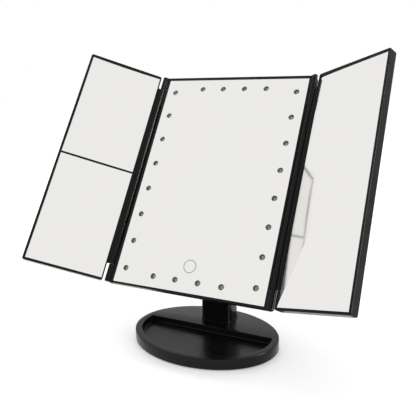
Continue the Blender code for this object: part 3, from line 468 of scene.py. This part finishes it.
@dataclass
class Placement:
    """Turns a drawing in millimetres to metres in the row frame, at rest, from the record's joints."""

    hinge_y: float = -1.5
    half_height: float = 120.75  # the joints' points sit half way up the glass
    joints: dict = field(default_factory=lambda: {j["name"]: j for j in frame["joints"]})

    def stand(self) -> Matrix:
        """The stand is drawn in the row frame itself."""
        return Matrix.Scale(MM, 4)

    def panel_turn(self) -> Matrix:
        """How the panel's drawing is turned: its z runs along the wings' hinge pins."""
        up = Vector(self.joints["left_wing_fold"]["axis"]).normalized()
        across = Vector((1, 0, 0))
        return Matrix((across, up.cross(across), up)).transposed().to_4x4()

    def panel(self) -> Matrix:
        """From the panel's drawing to the row frame."""
        pins = [Vector(self.joints[f"{s.word}_wing_fold"]["pos_m"]) for s in Side]
        turn = self.panel_turn()
        start = (pins[0] + pins[1]) / 2 - turn @ Vector((0, self.hinge_y, self.half_height)) * MM
        return Matrix.Translation(start) @ turn @ Matrix.Scale(MM, 4)

    def wing(self, side: Side) -> Matrix:
        """From a wing's drawing to the row frame. The left wing's drawing is mirrored."""
        joint = self.joints[f"{side.word}_wing_fold"]
        turn = self.panel_turn()
        start = Vector(joint["pos_m"]) - turn @ Vector((0, 0, self.half_height)) * MM
        folded = Matrix.Rotation(side.value * math.radians(joint["range_deg"][0]), 4, "Z")
        mirrored = Matrix.Diagonal((side.value, 1, 1, 1))
        return Matrix.Translation(start) @ turn @ folded @ mirrored @ Matrix.Scale(MM, 4)


# ---- mesh making


def new_verts(result: dict) -> list[BMVert]:
    """The vertices in an operator's result, under either of its two names."""
    return [v for v in result.get("geom", result.get("verts", [])) if isinstance(v, BMVert)]


def round_over(form: BMesh, edges: Iterable[BMEdge], radius: float, segments: int) -> None:
    """Rounds edges over to a radius in millimetres."""
    settings = {"profile": 0.5, "affect": "EDGES", "material": -1, "clamp_overlap": True}
    bmesh.ops.bevel(form, geom=list(edges), offset=radius, segments=segments, **settings)


def soften(
    form: BMesh, radius: float, segments: int, where: Optional[Callable] = None, degrees: float = 40.0
) -> None:
    """Rounds over the edges that turn more than an angle.

    Args:
        form: The mesh.
        radius: The radius in millimetres.
        segments: Segments round it.
        where: Picks edges by the place of both ends, or all of them if left out.
        degrees: The least turn.
    """
    form.normal_update()
    least = math.radians(degrees)
    found = [e for e in form.edges if len(e.link_faces) == 2 and e.calc_face_angle() > least]
    found = [e for e in found if where is None or all(where(v.co) for v in e.verts)]
    round_over(form, found, radius, segments)


def slab(low: tuple, high: tuple, corner: float, axis: int, edge: float) -> BMesh:
    """A flat block with rounded corners and softened edges.

    Args:
        low: Its lowest corner.
        high: Its highest corner.
        corner: The radius of the four edges along axis, or 0.
        axis: 0, 1 or 2 for x, y or z.
        edge: The radius of the remaining edges.

    Returns:
        The block as a mesh.
    """
    form = bmesh.new()
    centre = (Vector(low) + Vector(high)) / 2
    size = Vector(high) - Vector(low)
    bmesh.ops.create_cube(form, size=1.0, matrix=Matrix.Translation(centre) @ Matrix.Diagonal((*size, 1)))
    if corner:
        along = [e for e in form.edges if abs(e.verts[0].co[axis] - e.verts[1].co[axis]) > TINY]
        round_over(form, along, corner, CORNER_STEPS)
    soften(form, edge, EDGE_STEPS)
    return form


def disc(x: float, z: float, radius: float, front: float, back: float, edge: float, sides: int) -> BMesh:
    """A round bar that runs back into the panel.

    Args:
        x: Its centre across.
        z: Its centre up the glass.
        radius: Its radius.
        front: Where it starts.
        back: Where it ends.
        edge: The radius of its two end edges, or 0.
        sides: Segments round it.

    Returns:
        The bar as a mesh.
    """
    form = bmesh.new()
    spot = Matrix.Translation((x, (front + back) / 2, z)) @ Matrix.Rotation(-math.pi / 2, 4, "X")
    sizes = {"radius1": radius, "radius2": radius, "depth": back - front}
    bmesh.ops.create_cone(form, cap_ends=True, segments=sides, matrix=spot, **sizes)
    if edge:
        soften(form, edge, EDGE_STEPS, degrees=60.0)
    return form


def pushed_outline(outline: list[tuple], low: float, high: float) -> BMesh:
    """A solid with a flat outline pushed upward.

    Args:
        outline: Its points across and back, in order.
        low: The height of its foot.
        high: The height of its top.

    Returns:
        The solid as a mesh.
    """
    form = bmesh.new()
    foot = form.faces.new([form.verts.new((x, y, low)) for x, y in outline])
    risen = bmesh.ops.extrude_face_region(form, geom=[foot], use_keep_orig=True)
    bmesh.ops.translate(form, vec=(0, 0, high - low), verts=new_verts(risen))
    bmesh.ops.recalc_face_normals(form, faces=form.faces)
    return form


def merge(forms: Iterable[BMesh]) -> BMesh:
    """Gathers several meshes in one. Each stays a closed shell of its own."""
    gathered = bmesh.new()
    for form in forms:
        passing = bpy.data.meshes.new("passing")
        form.to_mesh(passing)
        form.free()
        gathered.from_mesh(passing)
        bpy.data.meshes.remove(passing)
    return gathered


def add_object(name: str, data: ID) -> Object:
    """Puts a mesh, a light or a camera in the scene as an object."""
    thing = bpy.data.objects.new(name, data)
    bpy.context.scene.collection.objects.link(thing)
    return thing


def add_mesh(name: str, form: BMesh, finish: Finish) -> Object:
    """Puts a form in the scene with its finish, and frees it."""
    mesh = bpy.data.meshes.new(name)
    form.to_mesh(mesh)
    form.free()
    mesh.materials.append(finish.material())
    return add_object(name, mesh)


def make_piece(
    name: str,
    form: BMesh,
    place: Matrix,
    finish: Finish,
    body: Body,
    slot: Slot,
    *nodes: str,
    smooth: float = SMOOTH,
) -> Object:
    """Makes a mesh a finished piece in its place, hides the CAD nodes that it replaces and logs what it
    rides on.

    Args:
        name: The piece's name.
        form: Its mesh in its drawing's millimetres.
        place: From the drawing to the row frame.
        finish: Its surface.
        body: The CAD body that it moves with.
        slot: The record's material slot for it. It is not used.
        *nodes: CAD nodes that it replaces.
        smooth: Faces that meet at less than this angle shade as one.

    Returns:
        The object, with its place in its mesh.
    """
    bmesh.ops.remove_doubles(form, verts=form.verts, dist=0.0005)
    bmesh.ops.transform(form, matrix=place, verts=form.verts)
    bmesh.ops.recalc_face_normals(form, faces=form.faces)
    piece = add_mesh(name, form, finish)
    piece.data.shade_smooth()
    piece.data.set_sharp_from_angle(angle=math.radians(smooth))
    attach(piece, body.value)
    if nodes:
        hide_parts(*nodes)
    log.info("%s rides on %s", name, body.value)
    return piece


def recast(
    node: str, name: str, finish: Finish, body: Body, slot: Slot, smooth: float = SMOOTH
) -> None:
    """Replaces a CAD node, whose shape is right but whose flats would show, with a smooth copy.

    Args:
        node: The CAD node.
        name: The copy's name.
        finish: Its surface.
        body: The CAD body that it moves with.
        slot: The record's material slot for it.
        smooth: As for make_piece.
    """
    form = bmesh.new()
    form.from_mesh(frame["nodes"][node].data)
    bmesh.ops.scale(form, vec=(1 / MM,) * 3, verts=form.verts)
    bmesh.ops.remove_doubles(form, verts=form.verts, dist=0.002)
    flat = math.radians(0.5)
    bmesh.ops.dissolve_limit(form, angle_limit=flat, verts=form.verts, edges=form.edges)
    piece = make_piece(name, form, Matrix.Scale(MM, 4), finish, body, slot, node, smooth=smooth)
    piece.modifiers.new("even shading", "WEIGHTED_NORMAL").keep_sharp = True


def redress(finish: Finish, *nodes: str) -> None:
    """Gives CAD nodes that stay a better material."""
    for node in nodes:
        for holder in frame["nodes"][node].material_slots:
            holder.material = finish.material()
        log.info("%s keeps its shape and takes %s", node, finish.name)


# ---- parts


@dataclass
class CrossScrew:
    """A pan-head screw with a cross recess, drawn from the top of its head down its own -z."""

    head_radius: float
    head_height: float
    shank_radius: float
    length: float
    sides: int = 24
    recess_share: float = 0.62  # of the head's radius, as the crown, rim and taper are of their own
    recess_drop: float = 0.6
    recess_taper: float = 0.18
    crown_share: float = 0.45
    rim_share: float = 0.08
    tip: float = 0.6  # the tip's length, and how much it narrows
    tip_share: float = 0.6

    def form(self, top: Vector, along: Vector) -> BMesh:
        """Builds the screw.

        Args:
            top: The middle of the head's top.
            along: The way that its shank points.

        Returns:
            The screw as a closed mesh in the drawing's millimetres.
        """
        form = bmesh.new()
        middle = Matrix.Translation((0, 0, -self.head_height / 2))
        radii = {"radius1": self.head_radius, "radius2": self.head_radius, "depth": self.head_height}
        bmesh.ops.create_cone(form, cap_ends=True, segments=self.sides, matrix=middle, **radii)
        form.faces.ensure_lookup_table()
        rim = [e for e in form.edges if all(abs(v.co.z) < TINY for v in e.verts)]
        round_over(form, rim, self.head_height * self.crown_share, 3)
        self.sink_cross(form)
        self.draw_shank(form)
        turn = Vector((0, 0, -1)).rotation_difference(along).to_matrix().to_4x4()
        bmesh.ops.transform(form, matrix=Matrix.Translation(top) @ turn, verts=form.verts)
        return form

    def sink_cross(self, form: BMesh) -> None:
        """Sinks the cross in the top face. Its arms' corners fall on multiples of 15 degrees."""
        top = max(form.faces, key=lambda f: (round(f.calc_center_median().z, 4), len(f.verts)))
        bmesh.ops.inset_individual(form, faces=[top], thickness=self.head_radius * self.rim_share)
        reach = self.head_radius * self.recess_share
        arm = reach * math.tan(math.radians(15))
        for v in top.verts:
            angle = math.atan2(v.co.y, v.co.x)
            across, up = (max(abs(share), TINY) for share in (math.cos(angle), math.sin(angle)))
            far = max(min(reach / across, arm / up), min(arm / across, reach / up))
            v.co.xy = far * math.cos(angle), far * math.sin(angle)
        taper, drop = arm * self.recess_taper, -self.head_height * self.recess_drop
        bmesh.ops.inset_individual(form, faces=[top], thickness=taper, depth=drop)

    def draw_shank(self, form: BMesh) -> None:
        """Draws the shank out of the head's underside and points its tip."""
        under = min(form.faces, key=lambda f: (round(f.calc_center_median().z, 4), -len(f.verts)))
        bmesh.ops.inset_individual(form, faces=[under], thickness=self.head_radius - self.shank_radius)
        straight = self.length - self.head_height - self.tip
        for drop, shrink in ((straight, 1.0), (self.tip, self.tip_share)):
            pushed = bmesh.ops.extrude_discrete_faces(form, faces=[under])["faces"]
            under = pushed[0]
            bmesh.ops.translate(form, vec=(0, 0, -drop), verts=under.verts)
            bmesh.ops.scale(form, vec=(shrink, shrink, 1), verts=under.verts)


BASE_SCREW = CrossScrew(head_radius=2.2, head_height=0.65, shank_radius=0.95, length=8.0)
BRACKET_SCREW = CrossScrew(head_radius=2.5, head_height=1.4, shank_radius=1.2, length=6.8)
CASING_SCREW = CrossScrew(head_radius=2.5, head_height=0.9, shank_radius=1.0, length=6.2)


@dataclass
class Stand:
    """The oval tray base, the battery column and what they hold."""

    place: Matrix
    half_width: float = 80.0
    half_depth: float = 58.8
    bottom: float = 1.0
    top: float = 12.0
    rim: float = 7.3
    tray_floor: float = 4.6
    tray_back: float = 10.0
    floor_round: float = 1.6
    rim_round: float = 0.7
    foot_round: float = 0.4
    front_steps: int = 100
    back_steps: int = 56
    column_y: float = 36.5
    column_half: tuple = (17.9, 15.4)
    squareness: float = 3.6
    cover_wall: float = 1.8
    cover_round: float = 0.25
    cover_steps: int = 64
    rib_half: float = 7.0
    rib_height: float = 0.8
    rib_root: float = 1.0
    rib_round: float = 0.15
    rib_heights: tuple = (104.0, 106.0, 108.0, 110.0)
    lip: float = 0.9
    lip_top: float = 13.5
    lip_root: float = 0.5
    lip_round: float = 0.6
    lip_steps: int = 96
    band: float = 14.0
    screw_face: float = 0.25
    base_screws: tuple = ((52.0, 26.0), (-52.0, 26.0), (38.2, -46.3), (-38.2, -46.3))
    near: float = 0.1  # how close to a height counts as at it

    def build(self) -> None:
        """Builds the stand's pieces."""
        self.tray_base()
        self.foot_lip()
        recast("column_shell", "column_casing", GLOSS_ABS, Body.STAND, Slot.ABS)
        self.battery_cover()
        self.cells()
        self.screws()
        redress(ZINC, "column_screw_1", "column_screw_2")
        redress(MATTE_ABS, "base_bottom_cover")
        redress(SHEET_STEEL, "ballast_plate")
        redress(FOAM, "non_slip_pad")
        redress(NICKEL, "battery_link_plate", "battery_contact_positive", "battery_contact_negative")
        for spring in ("battery_spring_lower", "battery_spring_upper"):  # fine wire, so all its flats blend
            recast(spring, spring + "_wire", NICKEL, Body.STAND, Slot.NICKEL, smooth=80.0)

    def arc(self, inset: float, edge_y: float, front: bool, steps: int) -> list[tuple[float, float, float]]:
        """A stretch of the base's oval, on its top face.

        Args:
            inset: How far the oval is drawn in.
            edge_y: The straight line that bounds the stretch.
            front: Whether it is the stretch in front of the line or the one behind it.
            steps: Segments in it.

        Returns:
            Its points, counter-clockwise.
        """
        half_x, half_y = self.half_width - inset, self.half_depth - inset
        start = math.asin(edge_y / half_y)
        first, last = (math.pi - start, math.tau + start) if front else (start, math.pi - start)
        turns = (first + (last - first) * i / steps for i in range(steps + 1))
        return [(half_x * math.cos(t), half_y * math.sin(t), self.top) for t in turns]

    def tray_base(self) -> None:
        """The oval shell with its sunken tray, which has a straight back edge."""
        form = bmesh.new()
        line = self.tray_back + self.rim
        outlines = (
            self.arc(0, line, True, self.front_steps),
            self.arc(0, line, False, self.back_steps)[1:-1],
            self.arc(self.rim, self.tray_back, True, self.front_steps),
        )
        fore, aft, tray = ([form.verts.new(point) for point in outline] for outline in outlines)
        for near, far in zip(range(self.front_steps), range(1, self.front_steps + 1)):
            form.faces.new((fore[near], fore[far], tray[far], tray[near]))
        form.faces.new([fore[-1], *aft, fore[0], tray[0], tray[-1]])
        for loop, drop in ((fore + aft, self.bottom - self.top), (tray, self.tray_floor - self.top)):
            self.sink(form, loop, drop)
        bmesh.ops.recalc_face_normals(form, faces=form.faces)
        low, high = self.bottom + self.near, self.tray_floor + self.near
        soften(form, self.floor_round, 5, lambda p: low < p.z < high)
        upper = self.top - self.near
        soften(form, self.rim_round, 4, lambda p: p.z > upper)
        soften(form, self.foot_round, EDGE_STEPS, lambda p: p.z < low)
        make_piece("tray_base", form, self.place, TRAY_ABS, Body.STAND, Slot.ABS, "base_shell")

    def sink(self, form: BMesh, loop: list[BMVert], drop: float) -> None:
        """Runs a wall down from a loop of points and closes it at its foot.

        Args:
            form: The mesh.
            loop: The points, in order.
            drop: How far down, as a negative number.
        """
        edges = [form.edges.get(pair) for pair in zip(loop, loop[1:] + loop[:1])]
        walls = bmesh.ops.extrude_edge_only(form, edges=edges)
        bmesh.ops.translate(form, vec=(0, 0, drop), verts=new_verts(walls))
        foot = [e for e in walls["geom"] if isinstance(e, BMEdge) and e.is_boundary]
        bmesh.ops.contextual_create(form, geom=foot)

    def section(self, spread: float, steps: int, first: float = 0.0, last: float = math.tau) -> list[tuple]:
        """Points along the column's softly squared section.

        Args:
            spread: How far the section is let out.
            steps: Segments between the points.
            first: The turn that it starts at.
            last: The turn that it ends at.

        Returns:
            The points across and back, first and last both given.
        """
        points = []
        for i in range(steps + 1):
            turn = first + (last - first) * i / steps
            x, y = (
                math.copysign(abs(share) ** (2 / self.squareness), share) * (half + spread)
                for share, half in zip((math.cos(turn), math.sin(turn)), self.column_half)
            )
            points.append((x, self.column_y + y))
        return points

    def foot_lip(self) -> None:
        """The low lip that the column's foot sits in."""
        outline = self.section(self.lip, self.lip_steps)[:-1]
        form = pushed_outline(outline, self.top - self.lip_root, self.lip_top)
        soften(form, self.lip_round, 4, lambda p: p.z > self.lip_top - self.near, 50.0)
        make_piece("column_foot_lip", form, self.place, GLOSS_ABS, Body.STAND, Slot.ABS)

    def battery_cover(self) -> None:
        """The curved cover on the back of the column, with the ribs that a thumb pulls at."""
        low, high = (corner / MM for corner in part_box("battery_cover"))
        outline = []
        for spread in (0.0, -self.cover_wall):
            depth = (low.y - self.column_y) / (self.column_half[1] + spread)
            start = math.asin(depth ** (self.squareness / 2))
            turns = (math.pi - start, start) if spread else (start, math.pi - start)
            outline += self.section(spread, self.cover_steps, *turns)
        form = pushed_outline(outline, low.z, high.z)
        soften(form, self.cover_round, EDGE_STEPS, degrees=60.0)
        root = self.column_y + self.column_half[1] - self.rib_root
        ribs = []
        for z in self.rib_heights:
            corners = (-self.rib_half, root, z), (self.rib_half, high.y, z + self.rib_height)
            ribs.append(slab(*corners, 0.0, 1, self.rib_round))
        cover = merge([form, *ribs])
        make_piece("battery_cover_skin", cover, self.place, GLOSS_ABS, Body.DOOR, Slot.ABS, "battery_cover")

    def cells(self) -> None:
        """The four dry cells, each with its band at its positive end."""
        for number in range(1, 5):
            low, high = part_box(f"battery_{number}")
            upright = number < 3
            length = self.band * MM
            band = (high.z - length, high.z) if upright else (low.z, low.z + length)
            finish = CellSleeve(f"shrink sleeve {number}", "#17191d", 0.3, *band)
            recast(f"battery_{number}", f"dry_cell_{number}", finish, Body.STAND, Slot.CELL)

    def screws(self) -> None:
        """The screws under the base, seen through the pad's holes."""
        for number, (x, y) in enumerate(self.base_screws, 1):
            name, node = f"base_cross_screw_{number}", f"base_screw_{number}"
            form = BASE_SCREW.form(Vector((x, y, self.screw_face)), Vector((0, 0, 1)))
            make_piece(name, form, self.place, ZINC, Body.STAND, Slot.ZINC, node)


@dataclass
class Panel:
    """The middle panel: frame, mirror with its light windows, lights, rear casing and tilt bracket."""

    place: Matrix
    glass_half: float = 83.5
    glass_low: float = -0.6
    glass_high: float = 242.1
    glass_front: float = 0.1
    glass_back: float = 3.1
    window_radius: float = 3.0
    window_sides: int = 32
    window_play: tuple = (0.03, 0.02)  # between a clear round and the silvered sheet, round it and behind
    led_x: float = 71.6
    led_low: float = 15.5
    led_high: float = 224.9
    row_spacing: float = 25.0
    row_step: float = 4.2
    touch_z: float = 26.6
    touch_radius: float = 6.9
    touch_line: float = 0.9
    touch_proud: float = 0.03
    touch_sunk: float = 0.01
    touch_steps: int = 64
    board_front: float = 4.9
    board_thickness: float = 1.0
    board_margin: tuple = (4.2, 3.4)  # past the outermost lights
    board_corner: float = 0.8
    package_front: float = 3.8
    package_half: tuple = (1.4, 1.75)
    package_corner: float = 0.2
    edge: float = 0.1  # softens boards and packages
    dome_radius: float = 1.15
    dome_proud: float = 0.25
    dome_sunk: float = 0.3
    dome_round: float = 0.2
    dome_sides: int = 24
    tongue: tuple = ((35.2, 13.3, 149.6), (40.6, 13.9, 154.4))
    bracket_face: float = 15.0
    bracket_screws: tuple = tuple((x, z) for x in (-21.0, 21.0) for z in (97.2, 118.2))
    casing_face: float = 11.2
    casing_screws: tuple = tuple((x, z) for x in (-80.0, 80.0) for z in (13.0, 228.5))

    def build(self) -> None:
        """Builds the panel's pieces."""
        recast("centre_frame", "panel_frame", GLOSS_ABS, Body.PANEL, Slot.ABS)
        recast("back_shell", "rear_casing", SATIN_ABS, Body.PANEL, Slot.ABS)
        recast("pivot_bracket", "tilt_bracket", SATIN_ABS, Body.PANEL, Slot.ABS)
        for word in ("left", "right"):
            recast(f"pivot_cap_{word}", f"tilt_cap_{word}", GLOSS_ABS, Body.PANEL, Slot.ABS)
            recast(f"friction_washer_{word}", f"tilt_washer_{word}", WIRE_STEEL, Body.PANEL, Slot.HINGE)
            for end in ("lower", "upper"):
                recast(f"{word}_hinge_pin_{end}", f"{word}_pin_{end}", WIRE_STEEL, Body.PANEL, Slot.HINGE)
        recast("pivot_bolt", "tilt_bolt", ZINC, Body.PANEL, Slot.ZINC)
        redress(ZINC, "pivot_nut")
        redress(MATTE_ABS, "led_mask_plate")
        redress(BOARD, "control_board")
        recast("touch_sensor", "touch_pad", COPPER, Body.PANEL, Slot.COPPER)
        recast("usb_socket", "charging_socket", NICKEL, Body.PANEL, Slot.NICKEL)
        self.mirror()
        self.windows()
        self.touch_ring()
        for strip, places in self.light_places().items():
            self.light_strip(strip, places)
        self.socket_tongue()
        self.screws()

    def light_places(self) -> dict[str, list[tuple[float, float]]]:
        """Where the lights sit on the glass, by CAD strip."""
        pitch = (self.led_high - self.led_low) / 7
        heights = [self.led_low + pitch * i for i in range(8)]
        across = [(i - 1.5) * self.row_spacing for i in range(4)]
        return {
            "led_strip_left": [(-self.led_x, z) for z in heights],
            "led_strip_right": [(self.led_x, z) for z in heights],
            "led_strip_top": [(x, self.led_high + self.row_step) for x in across],
            "led_strip_bottom": [(x, self.led_low - self.row_step) for x in across],
        }

    def lights(self) -> list[tuple[float, float]]:
        """Where all the lights sit on the glass."""
        return [spot for places in self.light_places().values() for spot in places]

    def mirror(self) -> None:
        """The silvered sheet, pierced where the silvering is left off over each light."""
        form = bmesh.new()
        middle = (self.glass_low + self.glass_high) / 2
        half = (self.glass_high - self.glass_low) / 2
        sheet = Matrix.Translation((0, self.glass_front, middle)) @ UPRIGHT
        sheet = sheet @ Matrix.Diagonal((self.glass_half, half, 1, 1))
        bmesh.ops.create_grid(form, x_segments=1, y_segments=1, size=1.0, matrix=sheet)
        bmesh.ops.delete(form, geom=form.faces[:], context="FACES_ONLY")
        round_window = {"cap_ends": False, "segments": self.window_sides, "radius": self.window_radius}
        for x, z in self.lights():
            spot = Matrix.Translation((x, self.glass_front, z)) @ UPRIGHT
            bmesh.ops.create_circle(form, matrix=spot, **round_window)
        bmesh.ops.triangle_fill(form, edges=form.edges[:], use_beauty=True, use_dissolve=False)
        pushed = bmesh.ops.extrude_face_region(form, geom=form.faces[:], use_keep_orig=True)
        thickness = self.glass_back - self.glass_front
        bmesh.ops.translate(form, vec=(0, thickness, 0), verts=new_verts(pushed))
        make_piece(
            "panel_mirror", form, self.place, MIRROR, Body.PANEL, Slot.MIRROR, "centre_mirror", smooth=20.0
        )

    def windows(self) -> None:
        """The clear rounds that fill the openings in the silvering."""
        radius = self.window_radius - self.window_play[0]
        front, back = self.glass_front + self.window_play[1], self.glass_back - self.window_play[1]
        plugs = [disc(x, z, radius, front, back, 0.0, self.window_sides) for x, z in self.lights()]
        make_piece("light_windows", merge(plugs), self.place, WINDOW, Body.PANEL, Slot.MIRROR)

    def touch_ring(self) -> None:
        """The thin ring etched round the touch switch."""
        form = bmesh.new()
        centre = Vector((0, self.glass_front, self.touch_z))
        middle = self.touch_radius - self.touch_line / 2, (self.touch_sunk - self.touch_proud) / 2, 0
        shape = Matrix.Diagonal((self.touch_line, self.touch_sunk + self.touch_proud, 1, 1))
        bmesh.ops.create_grid(form, x_segments=1, y_segments=1, size=0.5)
        shape = Matrix.Translation(centre + Vector(middle)) @ shape
        bmesh.ops.transform(form, matrix=shape, verts=form.verts)
        turn = {"cent": centre, "axis": (0, 1, 0), "angle": math.tau, "steps": self.touch_steps}
        bmesh.ops.spin(form, geom=form.faces[:] + form.edges[:], use_merge=True, **turn)
        make_piece("touch_ring", form, self.place, ETCHED, Body.PANEL, Slot.MIRROR)

    def light_strip(self, strip: str, places: list[tuple[float, float]]) -> None:
        """A strip's board, its light packages and the phosphor on each.

        Args:
            strip: The CAD node that the board replaces.
            places: The lights' places on the glass.
        """
        across, up = self.board_margin
        (left, right), (foot, head) = ((min(row), max(row)) for row in zip(*places))
        low = (left - across, self.board_front, foot - up)
        high = (right + across, self.board_front + self.board_thickness, head + up)
        board = slab(low, high, self.board_corner, 1, self.edge)
        make_piece(strip + "_board", board, self.place, STRIP, Body.PANEL, Slot.BOARD, strip)
        front = self.package_front
        across, up = self.package_half
        packages, domes = [], []
        for x, z in places:
            corners = (x - across, front, z - up), (x + across, self.board_front, z + up)
            packages.append(slab(*corners, self.package_corner, 1, self.edge))
            span = front - self.dome_proud, front + self.dome_sunk
            domes.append(disc(x, z, self.dome_radius, *span, self.dome_round, self.dome_sides))
        make_piece(strip + "_packages", merge(packages), self.place, PACKAGE, Body.PANEL, Slot.BOARD)
        make_piece(strip + "_phosphor", merge(domes), self.place, PHOSPHOR, Body.PANEL, Slot.BOARD)

    def socket_tongue(self) -> None:
        """The tongue inside the charging socket."""
        form = slab(*self.tongue, self.package_corner, 0, self.edge)
        make_piece("socket_tongue", form, self.place, CHIP, Body.PANEL, Slot.BOARD)

    def screws(self) -> None:
        """The screws through the bracket and the rear casing."""
        kinds = (
            ("bracket", "bracket", BRACKET_SCREW, self.bracket_face, self.bracket_screws, ZINC, Slot.ZINC),
            ("casing", "panel", CASING_SCREW, self.casing_face, self.casing_screws, BLACKED, Slot.NICKEL),
        )
        for word, node, pattern, face, spots, finish, slot in kinds:
            for number, (x, z) in enumerate(spots, 1):
                name = f"{word}_cross_screw_{number}"
                form = pattern.form(Vector((x, face, z)), Vector((0, -1, 0)))
                make_piece(name, form, self.place, finish, Body.PANEL, slot, f"{node}_screw_{number}")


@dataclass
class Wing:
    """A folding side mirror."""

    place: Matrix
    side: Side
    inner: float = 6.0
    outer: float = 87.1
    low: float = -0.6
    high: float = 242.1
    front: float = 1.5
    divider: float = 120.0
    divider_half: float = 1.1
    sheet: float = 2.0
    sheet_corner: float = 0.8
    sheet_edge: float = 0.15
    pressed_sheet: float = 1.8
    pressed_steps: tuple = (32, 48)
    upper_radius: float = 1300.0  # of the sphere that each magnifying mirror is pressed to
    lower_radius: float = 2000.0

    def build(self) -> None:
        """Builds the wing's pieces."""
        word, body = self.side.word, self.side.body
        recast(f"{word}_wing_frame", f"{word}_frame_skin", GLOSS_ABS, body, Slot.ABS)
        recast(f"{word}_back_cover", f"{word}_rear_cover", SATIN_ABS, body, Slot.ABS)
        if self.side is Side.LEFT:
            over, under = self.divider + self.divider_half, self.divider - self.divider_half
            self.pressed_mirror("left_mirror_upper", over, self.high, self.upper_radius)
            self.pressed_mirror("left_mirror_lower", self.low, under, self.lower_radius)
        else:
            corners = (self.inner, self.front, self.low), (self.outer, self.front + self.sheet, self.high)
            sheet = slab(*corners, self.sheet_corner, 1, self.sheet_edge)
            make_piece("right_mirror_sheet", sheet, self.place, MIRROR, body, Slot.MIRROR, "right_mirror")

    def pressed_mirror(self, node: str, low: float, high: float, radius: float) -> None:
        """A magnifying mirror, whose sheet is pressed to a wide sphere.

        Args:
            node: The CAD node that it replaces.
            low: Its lower edge.
            high: Its upper edge.
            radius: The sphere's radius in millimetres.
        """
        form = bmesh.new()
        across, up = self.pressed_steps
        bmesh.ops.create_grid(form, x_segments=across, y_segments=up, size=0.5)
        bmesh.ops.scale(form, vec=(self.outer - self.inner, high - low, 1), verts=form.verts)
        corner = math.hypot((self.outer - self.inner) / 2, (high - low) / 2)
        for v in form.verts:
            v.co.z = (v.co.xy.length_squared - corner**2) / (2 * radius)
        pushed = bmesh.ops.extrude_face_region(form, geom=form.faces[:], use_keep_orig=True)
        bmesh.ops.translate(form, vec=(0, 0, -self.pressed_sheet), verts=new_verts(pushed))
        spot = Matrix.Translation(((self.inner + self.outer) / 2, self.front, (low + high) / 2))
        bmesh.ops.transform(form, matrix=spot @ UPRIGHT, verts=form.verts)
        make_piece(node + "_sheet", form, self.place, MIRROR, self.side.body, Slot.MIRROR, node)


# ---- studio


@dataclass(frozen=True)
class Softbox:
    """A soft oval light that faces the object. It stands at spot, size is its width and height."""

    name: str
    spot: tuple
    size: tuple
    watts: float
    aim: tuple = (0, 0, 0.15)

    def hang(self) -> Object:
        """Adds the light and gives its object."""
        lamp = bpy.data.lights.new(self.name, "AREA")
        lamp.shape = "ELLIPSE"
        lamp.size, lamp.size_y = self.size
        lamp.energy = self.watts
        box = add_object(self.name, lamp)
        box.location = self.spot
        box.rotation_euler = (Vector(self.aim) - box.location).to_track_quat("-Z", "Y").to_euler()
        return box


KEY = Softbox("key_softbox", (-0.35, 0.75, 1.8), (0.9, 0.9), 9.0)
SIDE_STRIP = Softbox("side_strip", (1.25, 0.09, 0.6), (0.3, 1.2), 24.0)


@dataclass
class Studio:
    """White paper floor, an even white surround, a soft key light, a side strip and the camera."""

    camera_at: tuple = (0.2365, -0.4704, 0.2749)
    turned: float = 26.09  # degrees that the camera faces left of +Y
    pitched: float = -13.73
    rolled: float = 1.25
    lens: float = 46.38
    sensor: float = 36.0
    nearest: float = 0.01
    surround: float = 0.9  # what lights the object and shows in its mirrors
    backdrop: float = 1.0  # what the camera sees behind it: clear white, as lit studio paper is
    floor_radius: float = 8.0

    def build(self) -> None:
        """Builds the floor, the light and the camera."""
        self.floor()
        self.light()
        self.camera()

    def floor(self) -> None:
        """The paper floor, a wide disc."""
        form = bmesh.new()
        bmesh.ops.create_circle(form, cap_ends=True, segments=96, radius=self.floor_radius)
        add_mesh("studio_floor", form, StudioFloor("white studio paper", "#fdfdfd", 0.9))

    def light(self) -> None:
        """An even surround, which the mirrors show as plain pale grey, and the two softboxes."""
        world = bpy.data.worlds.new("even white surround")
        bpy.context.scene.world = world
        world.use_nodes = True
        seen = add_node(world.node_tree, "ShaderNodeLightPath").outputs["Is Camera Ray"]
        inputs = {0: seen, 3: self.surround, 4: self.backdrop}
        strength = add_node(world.node_tree, "ShaderNodeMapRange", inputs).outputs[0]
        background = world.node_tree.nodes["Background"]
        background.inputs["Color"].default_value = (1, 1, 1, 1)
        world.node_tree.links.new(strength, background.inputs["Strength"])
        KEY.hang()
        SIDE_STRIP.hang().visible_diffuse = False  # it only draws highlights along the round edges

    def camera(self) -> None:
        """The camera, level with the mirror and to the user's right."""
        lens = bpy.data.cameras.new("camera")
        lens.lens = self.lens
        lens.sensor_width = self.sensor
        lens.clip_start = self.nearest
        seen = add_object("camera", lens)
        turn = Matrix.Rotation(math.radians(self.turned), 4, "Z")
        pitch = Matrix.Rotation(math.radians(self.pitched), 4, "X")
        roll = Matrix.Rotation(math.radians(self.rolled), 4, "Y")
        seen.matrix_world = Matrix.Translation(self.camera_at) @ turn @ pitch @ roll @ UPRIGHT
        bpy.context.scene.camera = seen
        bpy.context.scene.view_settings.view_transform = "Standard"


def main() -> None:
    """Builds every sub-assembly and the studio, in order."""
    logging.basicConfig(level=logging.INFO, format="%(name)s: %(message)s")
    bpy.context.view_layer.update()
    place = Placement()
    Stand(place.stand()).build()
    Panel(place.panel()).build()
    for side in Side:
        Wing(place.wing(side), side).build()
    Studio().build()


if __name__ == "__main__":
    main()
